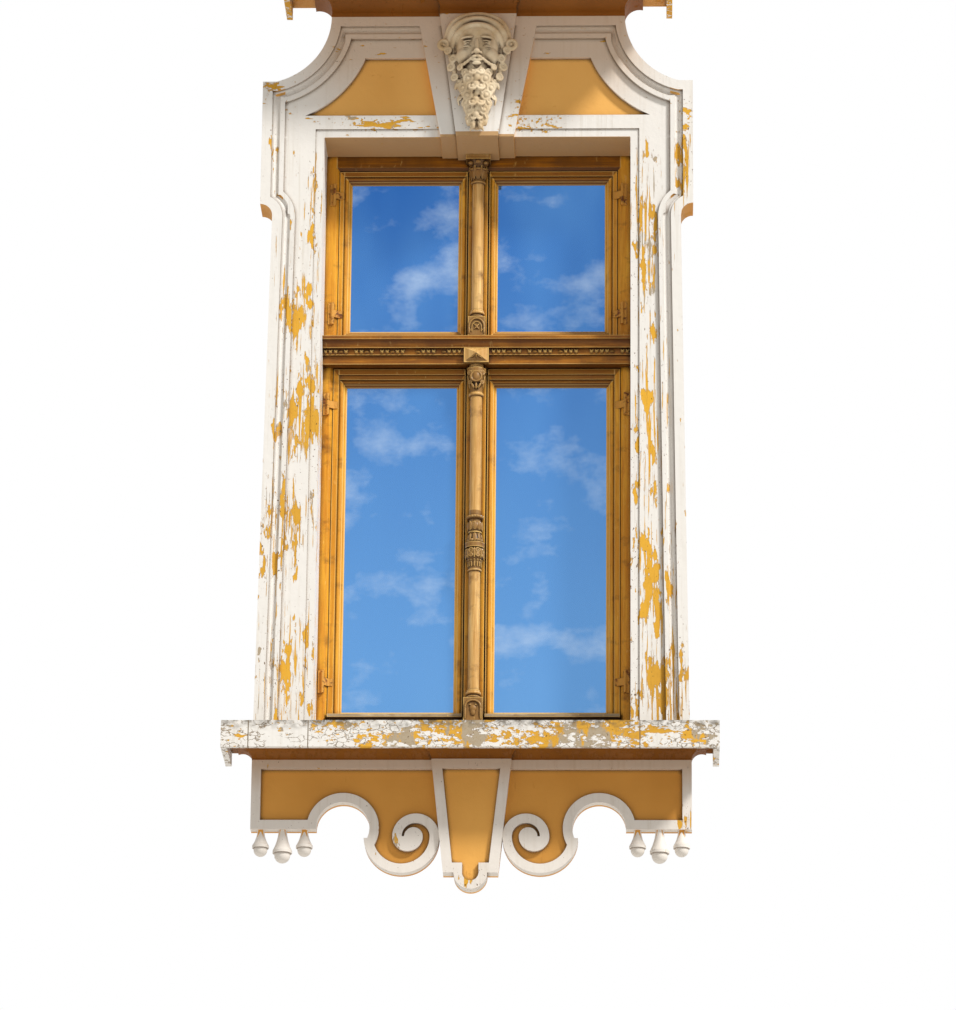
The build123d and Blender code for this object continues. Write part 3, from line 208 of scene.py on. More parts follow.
def flaking_paint(
    name, ochre_parts, zones, broad=(32, 32, 9), slim=(120, 120, 5), low=0.672, deep_low=0.60,
    wall="E8AC54", wall_dark="C08438", under_flakes=no_coats, over_flakes=no_coats,
):
    """White paint over ochre over grey render. ochre_parts says where it is ochre. The last two give a
    piece's own coats: those on the white, which flake off with it, and those over the flakes. A broad
    flake on a jamb is about 30 mm wide and 110 mm tall, and a slim one 8 mm wide and 200 mm tall."""
    material, tree, shader, where = new_material(name)
    place = add(tree, "SeparateXYZ", {0: where})
    facing = add(tree, "SeparateXYZ", {0: add(tree, "NewGeometry").outputs["Normal"]})

    # Where the paint lifts: in clouds half a metre wide, with chips of 8 to 12 mm near the flakes and a
    # few specks anywhere. In patches of 90 by 200 mm the ochre is lost too.
    cloud = noise_mask(tree, where, (2.3, 2.3, 1.3), 0.35, 0.75, detail=3.0)
    lift = add(tree, "Math", {0: zone_sum(tree, where, zones), 1: ZONE_LIFT}, operation="MULTIPLY").outputs[0]
    lift = add(tree, "Math", {0: cloud, 1: CLOUD_LIFT, 2: lift}, operation="MULTIPLY_ADD").outputs[0]
    flake, rim_shadow = torn_flakes(tree, where, lift, ((broad, (0, 0, 0), low), (slim, (4, 1, 9), low + 0.015)))
    # The rim round each flake is a painted shadow, laid at half strength
    rim_shadow = add(tree, "Math", {0: rim_shadow, 1: 0.5}, operation="MULTIPLY").outputs[0]
    chips = noise_mask(tree, where, (130, 130, 80), 0.68, 0.70, detail=2.0)
    chip_zone = add(tree, "MapRange", {"Value": lift, "From Min": 0.02, "From Max": 0.08}).outputs[0]
    chips = add(tree, "Math", {0: chips, 1: chip_zone}, operation="MULTIPLY").outputs[0]
    specks = noise_mask(tree, where, (150, 150, 110), 0.72, 0.75, detail=2.0, shift=(6, 6, 6))
    chips = add(tree, "Math", {0: chips, 1: specks}, operation="MAXIMUM").outputs[0]
    deep = noise_mask(tree, where, (11, 11, 5), deep_low, deep_low + 0.03, shift=(3.1, 0, 1.7))

    # Grime in clouds of 140 by 330 mm and in rain streaks 14 mm wide, bare render at the back, dirt on
    # the tops, and soot with painted shade in every crease within 17 mm
    grimy = noise_mask(tree, where, (7, 7, 3), 0.35, 0.75, detail=6.0, shift=(7, 2, 0))
    streak = noise_mask(tree, where, (70, 70, 2.0), 0.50, 0.72, detail=4.0, shift=(1, 5, 2))
    tone = add(tree, "Math", {0: grimy, 1: streak, 2: 0.06}, operation="MULTIPLY_ADD").outputs[0]
    back = add(tree, "Math", {0: facing.outputs[1], 1: ROOMWARD}, operation="GREATER_THAN").outputs[0]
    inputs = {"Value": facing.outputs[2], "From Min": 0.45, "From Max": 0.85, "To Max": 0.8}
    top = add(tree, "MapRange", inputs).outputs[0]
    darkening = crease_mask(tree, 0.017, 0.85, 0.42, 0.94, samples=6, only_local=True)

    bared = coats(tree, OCHRE_COAT, (cloud, OCHRE_DEEP), (deep, RENDER_GREY))
    bed = coats(tree, wall, (cloud, wall_dark))
    shown = coats(
        tree, PAINT_WHITE, (tone, PAINT_GREYED), *under_flakes(tree, where, place), (flake, bared), (rim_shadow, FLAKE_RIM_SHADOW),
        (chips, CHIP_BROWN), *over_flakes(tree, where, place), (back, RENDER_BACK), (top, RENDER_TOP),
        (ochre_parts(tree, place, facing), bed), (darkening, CREASE_SOOT_AND_SHADE),
    )

    # The film of paint stands proud of the flakes, over a floated surface that waves every 30 mm. The
    # sand's grit, really under 1 mm, is drawn at 2.4 mm to show.
    film = add(tree, "Math", {0: 1.0, 1: flake}, operation="SUBTRACT").outputs[0]
    grain = add(tree, "TexNoise", {"Vector": where, "Scale": 420.0, "Detail": 3.0}).outputs[0]
    trowel = add(tree, "TexNoise", {"Vector": where, "Scale": 34.0, "Detail": 4.0}).outputs[0]
    height = add(tree, "Math", {0: grain, 1: 0.25, 2: film}, operation="MULTIPLY_ADD").outputs[0]
    height = add(tree, "Math", {0: trowel, 1: 1.6, 2: height}, operation="MULTIPLY_ADD").outputs[0]
    feed(tree, shader, {
        "Base Color": shown,
        "Normal": add(tree, "Bump", {"Height": height, "Strength": 0.8, "Distance": 0.0011}).outputs[0],
        "Roughness": add(tree, "MapRange", {"Value": flake, "To Min": 0.55, "To Max": 0.9}).outputs[0],
        "Specular IOR Level": 0.22,
    })
    return material


def sunk_front(tree, place, facing, depth):
    """The faces turned to the street that lie behind a depth."""
    behind = add(tree, "Math", {0: place.outputs[1], 1: depth}, operation="GREATER_THAN").outputs[0]
    front = add(tree, "Math", {0: facing.outputs[1], 1: STREETWARD}, operation="LESS_THAN").outputs[0]
    return add(tree, "Math", {0: behind, 1: front}, operation="MULTIPLY").outputs[0]


def underside(tree, facing, part):
    """The faces turned to the ground, in one part of a piece."""
    down = add(tree, "Math", {0: facing.outputs[2], 1: DOWNWARD}, operation="LESS_THAN").outputs[0]
    return add(tree, "Math", {0: down, 1: part}, operation="MULTIPLY").outputs[0]


# The depth of the outer band's side, the half width past which an ear stands out, and the depth and
# the lower edge of the head's sunk panels
BAND_SIDE_Y, EAR_FROM_X, PANEL_Y, PANEL_FROM_Z = -0.104, 0.66, -0.090, 2.27


def outer_sides(tree, place, facing):
    """The surround's outer sides, its ears' undersides and the sunk panels, which are ochre."""
    side = add(tree, "Math", {0: place.outputs[0]}, operation="SIGN").outputs[0]
    outward = add(tree, "Math", {0: facing.outputs[0], 1: side}, operation="MULTIPLY").outputs[0]
    outward = add(tree, "Math", {0: outward, 1: SIDEWARD}, operation="GREATER_THAN").outputs[0]
    behind = add(tree, "Math", {0: place.outputs[1], 1: BAND_SIDE_Y}, operation="GREATER_THAN").outputs[0]
    flank = add(tree, "Math", {0: outward, 1: behind}, operation="MULTIPLY").outputs[0]
    off = add(tree, "Math", {0: place.outputs[0]}, operation="ABSOLUTE").outputs[0]
    far = add(tree, "Math", {0: off, 1: EAR_FROM_X}, operation="GREATER_THAN").outputs[0]
    high = add(tree, "Math", {0: place.outputs[2], 1: PANEL_FROM_Z}, operation="GREATER_THAN").outputs[0]
    panel = sunk_front(tree, place, facing, PANEL_Y)
    panel = add(tree, "Math", {0: panel, 1: high}, operation="MULTIPLY").outputs[0]
    either = add(tree, "Math", {0: flank, 1: underside(tree, facing, far)}, operation="MAXIMUM").outputs[0]
    return add(tree, "Math", {0: either, 1: panel}, operation="MAXIMUM").outputs[0]


# Just over the opening's soffit, and just within its reveals. The hood's painted shade on the head grows
# between these two heights, and between these two half widths.
SOFFIT_Z, OPENING_HALF = 2.2115, 0.5225
SHADE_Z, SHADE_X = (2.28, 2.50), (0.66, 0.48)


def under_the_hood(tree, where, place):
    """Painted warm shade under the hood: over the middle of the head, and on the opening's soffit."""
    inputs = {"Value": place.outputs[2], "From Min": SHADE_Z[0], "From Max": SHADE_Z[1]}
    high = add(tree, "MapRange", inputs).outputs[0]
    off = add(tree, "Math", {0: place.outputs[0]}, operation="ABSOLUTE").outputs[0]
    near = add(tree, "MapRange", {"Value": off, "From Min": SHADE_X[0], "From Max": SHADE_X[1]}).outputs[0]
    painted_shade = add(tree, "Math", {0: high, 1: near}, operation="MULTIPLY").outputs[0]
    painted_shade = add(tree, "Math", {0: painted_shade, 1: 0.55}, operation="MULTIPLY").outputs[0]
    soffit = add(tree, "Math", {0: place.outputs[2], 1: SOFFIT_Z}, operation="LESS_THAN").outputs[0]
    inside = add(tree, "Math", {0: off, 1: OPENING_HALF}, operation="LESS_THAN").outputs[0]
    soffit = add(tree, "Math", {0: soffit, 1: inside}, operation="MULTIPLY").outputs[0]
    return [(add(tree, "Math", {0: painted_shade, 1: soffit}, operation="MAXIMUM").outputs[0], WARM_PAINTED_SHADE)]


def finish_node(name, material):
    """Gives a CAD node its finish."""
    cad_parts[name].data.materials.clear()
    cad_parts[name].data.materials.append(material)


# The worn zones, each as (x, z, half width, half height)
JAMB_ZONES = [
    (-0.60, 1.60, 0.07, 0.20), (-0.57, 1.22, 0.10, 0.25), (-0.62, 0.80, 0.10, 0.22), (-0.60, 0.30, 0.12, 0.22),
    (-0.56, 1.95, 0.03, 0.20), (0.575, 1.78, 0.05, 0.40), (0.585, 1.20, 0.07, 0.44), (0.59, 0.62, 0.09, 0.34),
    (0.63, 0.25, 0.12, 0.22), (0.71, 2.10, 0.03, 0.16),
]
HEAD_ZONES = [
    (-0.36, 2.262, 0.17, 0.030), (0.22, 2.262, 0.12, 0.040), (0.150, 2.31, 0.025, 0.07),
    (-0.70, 2.39, 0.04, 0.04), (0.715, 2.26, 0.03, 0.10), (-0.71, 2.10, 0.03, 0.14),
]
jamb_paint = flaking_paint("flaking_white_oil_paint_upright", outer_sides, JAMB_ZONES)
head_paint = flaking_paint(
    "flaking_white_oil_paint_level", outer_sides, HEAD_ZONES, broad=(13, 36, 42), slim=(60, 60, 60), low=0.70,
    wall="FAC26C", wall_dark="E6A956", under_flakes=under_the_hood,
)
for side in ("left", "right"):
    finish_node(f"surround_jamb_{side}", jamb_paint)
    finish_node(f"surround_head_{side}", head_paint)
finish_node("keystone", head_paint)


# The hood and the bed mould under it: run in the same lime render. The hood is white with an ochre
# underside within its lips, and both bed moulds, the sill's too, are ochre darkened as painted shade.
MOULD_OCHRE_SHADED, MOULD_DARK_SHADED = "965C1E", "7E4A14"
HOOD_LIP_Z = 2.72


def soffit_within(lip):
    """For a piece that is ochre underneath, over the height where its lips end."""
    def ochre_parts(tree, place, facing):
        raised = add(tree, "Math", {0: place.outputs[2], 1: lip}, operation="GREATER_THAN").outputs[0]
        return underside(tree, facing, raised)

    return ochre_parts


def all_ochre(tree, place, facing):
    """For a piece that is ochre all over."""
    return 1.0


hood_paint = flaking_paint(
    "weathered_white_paint_on_hood", soffit_within(HOOD_LIP_Z),
    [(-0.66, 2.70, 0.06, 0.06), (0.66, 2.70, 0.06, 0.06)], broad=(26, 26, 20),
)
shaded_mould_paint = flaking_paint(
    "ochre_paint_on_mould_in_painted_shade", all_ochre, [(0, 0, 1, 1)], wall=MOULD_OCHRE_SHADED, wall_dark=MOULD_DARK_SHADED,
)
finish_node("hood_shelf", hood_paint)
finish_node("hood_bed_mould", shaded_mould_paint)
finish_node("sill_bed_mould", shaded_mould_paint)


# The sill: a run of rendered stone slabs, laid end to end, that takes the rain. Most of its white is
# gone in the middle, the ochre and the render show in long patches, and soot sits along the upper arris.
SILL_JOINTS, JOINT_HALF, SILL_LIP_Z = (-0.725, -0.529, 0.555), 0.0016, 0.02
SILL_CRACK, SILL_SOOT, SILL_JOINT = "7C6A52", "5F574B", "7A6A55"


def crazing(tree, where, place):
    """A net of fine cracks in the white, with meshes of about 26 by 17 mm, in patches."""
    placed = add(tree, "Mapping", {"Vector": where, "Scale": (38, 38, 60)}).outputs[0]
    bent = add(tree, "TexNoise", {"Vector": placed, "Scale": 1.5, "Detail": 4.0}).outputs["Color"]
    placed = add(tree, "VectorMath", {0: placed, 1: bent}, operation="ADD").outputs[0]
    crack = add(tree, "TexVoronoi", {"Vector": placed, "Scale": 1.0}, feature="DISTANCE_TO_EDGE").outputs[0]
    crack = add(tree, "MapRange", {"Value": crack, "From Min": 0.07, "From Max": 0.02}).outputs[0]
    patch = noise_mask(tree, where, (9, 9, 30), 0.45, 0.51, detail=4.0, shift=(8, 8, 8))
    crack = add(tree, "Math", {0: crack, 1: patch}, operation="MULTIPLY").outputs[0]
    return [(add(tree, "Math", {0: crack, 1: 0.9}, operation="MULTIPLY").outputs[0], SILL_CRACK)]


def soot_and_joints(tree, where, place):
    """Soot along the upper arris, and the joints between the slabs."""
    darkening = noise_mask(tree, where, (30, 30, 42), 0.40, 0.62, detail=6.0, shift=(2, 9, 1))
    edge = add(tree, "MapRange", {"Value": place.outputs[2], "From Min": 0.052, "From Max": 0.094}).outputs[0]
    layers = [(add(tree, "Math", {0: darkening, 1: edge}, operation="MULTIPLY").outputs[0], SILL_SOOT)]
    for joint in SILL_JOINTS:
        inputs = {0: place.outputs[0], 1: joint, 2: JOINT_HALF}
        layers.append((add(tree, "Math", inputs, operation="COMPARE").outputs[0], SILL_JOINT))
    return layers


SILL_ZONES = [
    (-0.42, 0.075, 0.12, 0.03), (-0.28, 0.025, 0.16, 0.04), (-0.05, 0.055, 0.14, 0.06), (0.22, 0.030, 0.18, 0.04),
    (0.42, 0.050, 0.20, 0.06), (0.76, 0.05, 0.08, 0.06),
]
# The sill's underside within its lips is ochre darkened as painted shade
sill_paint = flaking_paint(
    "weathered_white_paint_on_sill", soffit_within(SILL_LIP_Z), SILL_ZONES, broad=(15, 15, 34),
    slim=(50, 50, 70), low=0.642, deep_low=0.52, wall="9C6222", wall_dark=MOULD_DARK_SHADED,
    under_flakes=crazing, over_flakes=soot_and_joints,
)
finish_node("sill", sill_paint)


# The apron: lime render like the surround's, a flat ochre field inside a raised white border with two
# scrolls. Drops of cast render hang from its lower edge, and its key stands a little prouder and ends
# in a round pendant.
AT_WALL_Y, APRON_FIELD_Y, KEY_FIELD_Y = -0.016, -0.044, -0.057


def sunk_field(depth):
    """For a piece with an ochre field sunk behind a depth, and ochre sides where they meet the wall."""
    def ochre_parts(tree, place, facing):
        field = sunk_front(tree, place, facing, depth)
        at_wall = add(tree, "Math", {0: place.outputs[1], 1: AT_WALL_Y}, operation="GREATER_THAN").outputs[0]
        return add(tree, "Math", {0: field, 1: at_wall}, operation="MAXIMUM").outputs[0]

    return ochre_parts


def under_the_sill(tree, where, place):
    """Painted warm shade on the top of the apron, under the sill, and a little on the rest of it."""
    inputs = {"Value": place.outputs[2], "From Min": -0.11, "From Max": -0.01, "To Min": 0.25}
    painted_shade = add(tree, "MapRange", inputs).outputs[0]
    return [(add(tree, "Math", {0: painted_shade, 1: 0.6}, operation="MULTIPLY").outputs[0], WARM_PAINTED_SHADE)]


apron_paint = flaking_paint(
    "white_paint_on_apron", sunk_field(APRON_FIELD_Y), [(0.7, -0.2, 0.05, 0.05)], low=0.72,
    wall="E4A54E", wall_dark="CF903E", under_flakes=under_the_sill,
)
key_paint = flaking_paint(
    "white_paint_on_apron_key", sunk_field(KEY_FIELD_Y), [(0.0, -0.40, 0.06, 0.05)], low=0.72,
    wall="F8BC62", wall_dark="DFA04A", under_flakes=under_the_sill,
)
for side in ("left", "right"):
    finish_node(f"apron_{side}", apron_paint)
    for number in (1, 2, 3):
        finish_node(f"drop_{side}_{number}", apron_paint)
finish_node("apron_key", key_paint)


# The mask: a bearded head in a rolled cap, modelled in clay, cast in fine cement stone and set
# against the keystone's raised block. The face is a plain calm one, with closed lips and even brows.
shapes = []


def ball(place, size, turn=(0, 0, 0), segments=20, rings=12):
    """A lump of clay: an ellipsoid of the given half sizes, turned by degrees."""
    bpy.ops.mesh.primitive_uv_sphere_add(
        segments=segments, ring_count=rings, radius=1.0, location=place, scale=size,
        rotation=[radians(a) for a in turn],
    )
    shapes.append(bpy.context.object)


def ring(place, major, minor, turn=(90, 0, 0), segments=32, sides=8):
    """A round moulding, facing the front when it is turned by 90 degrees about x."""
    bpy.ops.mesh.primitive_torus_add(
        major_radius=major, minor_radius=minor, major_segments=segments, minor_segments=sides,
        location=place, rotation=[radians(a) for a in turn],
    )
    shapes.append(bpy.context.object)


def curl(place, major, minor, turn, heart=0.45):
    """A snail curl: a ring with a small heart."""
    ring(place, major, minor, turn, segments=24, sides=10)
    ball(place, (major * heart,) * 3)


def both(maker, place, *rest, turn=(0, 0, 0), **more):
    """The same lump on both sides of the middle."""
    for way in (-1, 1):
        sided = (turn[0], turn[1] * way, turn[2] * way)
        maker((place[0] * way, place[1], place[2]), *rest, turn=sided, **more)


ARCH_LUMPS = 33


def arch(centre, half_w, height, thick, depth, start):
    """A rolled band of the cap, bent over the brow and drawn back at its ends."""
    for step in range(ARCH_LUMPS):
        angle = pi * (start + (1 - 2 * start) * step / (ARCH_LUMPS - 1))
        along = cos(angle)
        place = (centre[0] + half_w * along, centre[1] + depth * along**2, centre[2] + height * sin(angle))
        lean = -atan2(height * cos(angle), half_w * sin(angle))
        length = 2.2 * pi * (half_w + height) / 2 / ARCH_LUMPS
        ball(place, (length, thick, thick), turn=(0, lean * 180 / pi, 0))


def join_lumps(name):
    """Makes one object of the lumps laid so far."""
    bpy.ops.object.select_all(action="DESELECT")
    for shape in shapes:
        shape.select_set(True)
    bpy.context.view_layer.objects.active = shapes[0]
    bpy.ops.object.join()
    whole = bpy.context.object
    shapes.clear()
    whole.name = name
    bpy.ops.object.transform_apply(location=True, rotation=True, scale=True)
    return whole


def gather(name, voxel, smooth):
    """Joins the lumps into one closed skin with no seams, and smooths it a few times over."""
    whole = join_lumps(name)
    skin = whole.modifiers.new("skin", "REMESH")
    skin.mode = "VOXEL"
    skin.voxel_size = voxel
    skin.use_smooth_shade = True
    bpy.ops.object.modifier_apply(modifier="skin")
    soft = whole.modifiers.new("soft", "SMOOTH")
    soft.factor = 0.5
    soft.iterations = smooth
    bpy.ops.object.modifier_apply(modifier="soft")
    return whole


def alone(piece):
    """Selects one piece and nothing else."""
    bpy.ops.object.select_all(action="DESELECT")
    piece.select_set(True)
    bpy.context.view_layer.objects.active = piece


def trim(piece, place, normal):
    """Cuts a piece flat where it is set against what carries it."""
    alone(piece)
    bpy.ops.object.mode_set(mode="EDIT")
    bpy.ops.mesh.select_all(action="SELECT")
    bpy.ops.mesh.bisect(plane_co=place, plane_no=normal, use_fill=True, clear_outer=True)
    bpy.ops.object.mode_set(mode="OBJECT")


BLOCK_FACE_Y = -0.145
EYE_X, EYE_Z = 0.032, 2.5050
ROUGH_VOXEL, FINE_VOXEL = 0.0030, 0.0018

# The bare head, with the eye hollows cut in before the lids are laid
ball((0, -0.150, 2.505), (0.078, 0.072, 0.122))
ball((0, -0.162, 2.430), (0.058, 0.056, 0.066))
ball((0, -0.180, 2.548), (0.062, 0.044, 0.046))
both(ball, (0.040, -0.180, 2.470), (0.034, 0.036, 0.036))
ball((0, -0.190, 2.445), (0.036, 0.036, 0.032))
skull = gather("skull", ROUGH_VOXEL, smooth=6)
both(ball, (EYE_X, -0.234, EYE_Z - 0.001), (0.021, 0.019, 0.014))
hollow = gather("hollow", ROUGH_VOXEL, smooth=2)
cut = skull.modifiers.new("cut", "BOOLEAN")
cut.object = hollow
alone(skull)
bpy.ops.object.modifier_apply(modifier="cut")
bpy.data.objects.remove(hollow)
shapes.append(skull)

# Brows, eyes, lids, nose, closed lips and ears, even and at rest, and the strands of the moustache
both(ball, (0.033, -0.2170, 2.5270), (0.025, 0.012, 0.0060), turn=(0, 8, 0))
both(ball, (EYE_X, -0.2090, EYE_Z), (0.0140, 0.0130, 0.0105))
both(curl, (EYE_X, -0.2212, EYE_Z - 0.0005), 0.0046, 0.0018, heart=0.40)
both(ball, (EYE_X, -0.2145, 2.5135), (0.0180, 0.0135, 0.0034), turn=(0, 6, 0))
both(ball, (EYE_X, -0.2125, 2.4942), (0.0165, 0.0132, 0.0028))
ball((0, -0.2160, 2.5000), (0.0085, 0.0150, 0.0330), turn=(-12, 0, 0))
ball((0, -0.2340, 2.4700), (0.0115, 0.0120, 0.0100))
both(ball, (0.0120, -0.2250, 2.4670), (0.0075, 0.0100, 0.0070))
ball((0, -0.2230, 2.4560), (0.0140, 0.0090, 0.0100))
ball((0, -0.2280, 2.4400), (0.0190, 0.0075, 0.0052))
ball((0, -0.2270, 2.4290), (0.0160, 0.0085, 0.0062))
both(ball, (0.080, -0.158, 2.490), (0.010, 0.014, 0.026))
for strand in range(5):
    both(
        ball, (0.007 + 0.011 * strand, -0.2320 + 0.006 * strand, 2.4520 - 0.0060 * strand),
        (0.0110, 0.0065, 0.0060), turn=(0, 16 + 10 * strand, 0),
    )
both(curl, (0.058, -0.206, 2.422), 0.0080, 0.0042, turn=(90, 0, 30))

# The cap: rolled bands over the brow, a round crown behind them, and a curl of hair at each end
ball((0, -0.148, 2.560), (0.094, 0.062, 0.080))
arch((0, -0.214, 2.512), 0.084, 0.064, 0.0105, 0.050, start=0.02)
arch((0, -0.200, 2.524), 0.098, 0.080, 0.0115, 0.042, start=0.03)
arch((0, -0.180, 2.530), 0.106, 0.097, 0.0110, 0.030, start=0.05)
both(curl, (0.116, -0.165, 2.524), 0.0155, 0.0075, turn=(90, 0, 0))
both(curl, (0.100, -0.170, 2.500), 0.0100, 0.0055, turn=(90, 0, 20))
both(ball, (0.104, -0.154, 2.524), (0.018, 0.013, 0.012), turn=(0, 20, 0))
both(ball, (0.092, -0.158, 2.484), (0.008, 0.012, 0.022), turn=(0, 12, 0))

# Hair before the ears, and the beard: a full core under rows of curls that narrow to a forked tip.
# A row is its height, its curls as (place to the side, size), and how far forward it lies.
both(curl, (0.082, -0.184, 2.464), 0.0110, 0.0055, turn=(90, 0, 25))
both(curl, (0.088, -0.178, 2.436), 0.0115, 0.0060, turn=(90, 0, 25))
both(ball, (0.078, -0.172, 2.412), (0.008, 0.012, 0.020), turn=(0, -14, 0))
both(curl, (0.076, -0.182, 2.396), 0.0105, 0.0052, turn=(90, 0, 20))
both(ball, (0.068, -0.172, 2.372), (0.008, 0.011, 0.020), turn=(0, -20, 0))
ball((0, -0.155, 2.372), (0.062, 0.046, 0.062))
ball((0, -0.152, 2.300), (0.044, 0.036, 0.062))
ball((0, -0.150, 2.250), (0.024, 0.026, 0.036))
BEARD_ROWS = (
    (2.404, ((0.013, 0.0115), (0.040, 0.0110)), -0.2180),
    (2.380, ((0.028, 0.0150), (0.058, 0.0120)), -0.2130),
    (2.352, ((0.013, 0.0125), (0.046, 0.0145)), -0.2090),
    (2.325, ((0.030, 0.0150), (0.056, 0.0100)), -0.2010),
    (2.299, ((0.013, 0.0120), (0.038, 0.0120)), -0.1960),
    (2.274, ((0.024, 0.0135),), -0.1870),
    (2.250, ((0.010, 0.0090), (0.029, 0.0090)), -0.1800),
    (2.232, ((0.016, 0.0105),), -0.1740),
)
for row, (z, places, front) in enumerate(BEARD_ROWS):
    for at, (x, size) in enumerate(places):
        tilt = 12 if (row + at) % 2 else -18
        swing = 42 * x / 0.06
        back = front + 9 * x * x
        both(curl, (x, back, z), size, size * 0.40, turn=(90 + tilt, 8, swing), heart=0.66)
        both(curl, (x * 0.98, back - size * 0.12, z), size * 0.52, size * 0.22, turn=(90 + tilt, 0, swing))
        both(ball, (x * 0.80, back + 0.005, z + 0.016), (0.0048, 0.0080, 0.0170), turn=(0, 26 - 44 * (at % 2), 0))
        both(ball, (x * 1.12, back + 0.006, z - 0.015), (0.0042, 0.0075, 0.0150), turn=(0, 34 * (at % 2) - 20, 0))
for lock, z in enumerate((2.386, 2.362, 2.336, 2.311, 2.286, 2.262)):
    way = (-1) ** lock
    ball((0.003 * way, -0.2185 + 0.27 * (2.404 - z), z), (0.0120, 0.0095, 0.0175), turn=(0, 22 * way, 0))
both(ball, (0.011, -0.168, 2.222), (0.0080, 0.0110, 0.0130), turn=(0, -18, 0))
mask = gather("mask", FINE_VOXEL, smooth=1)
trim(mask, (0, BLOCK_FACE_Y, 0), (0, 1, 0))
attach(mask, "window")
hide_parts("mask_head")


# The mask's cement stone, cast and left unpainted: a warm cream in clouds of 70 mm, with brown soot and
# painted shade in every hollow. Its grit, really half a millimetre, is drawn at 2 mm to show.
stone, tree, shader, where = new_material("cast_cement_stone")
cloud = noise_mask(tree, where, (14, 14, 14), 0.3, 0.7)
darkening = crease_mask(tree, 0.020, 0.94, 0.52, 0.96, samples=8, only_local=True)
grain = add(tree, "TexNoise", {"Vector": where, "Scale": 500.0, "Detail": 3.0}).outputs[0]
feed(tree, shader, {
    "Base Color": coats(tree, "F4E4C6", (cloud, "CCAF84"), (darkening, "442A16")),
    "Normal": add(tree, "Bump", {"Height": grain, "Strength": 0.4, "Distance": 0.0006}).outputs[0],
    "Roughness": 0.85,
})
finish_node("mask_head", stone)
mask.data.materials.append(stone)


# The joinery: pine members, planed and moulded, under an old orange varnish, with soot and painted
# shade in the quirks and a painted highlight on the arrises. The grain runs along each member. Its
# rings, really 2 or 3 mm apart, are drawn 9 mm apart to show.
PINE_LIGHT, PINE_DARK, QUIRK_SOOT_AND_SHADE = "FABD3C", "C8801C", "2A1204"
SUN_BURNT, RAIL_PAINTED_SHADE, CARVING_STAIN = "6E4318", "804A0E", "6E4618"
PALE_WEAR_AND_HIGHLIGHT, UNDERSIDE_PAINTED_SHADE = "F2C877", "4A2608"
# The wood weathers most over the transom's cornice, in a band given by its middle and half height, and
# by the sill, between the height where that starts and the one where it is worst
LEDGE_Z, LEDGE_HALF, SPLASH_Z = 1.555, 0.030, (0.38, 0.19)


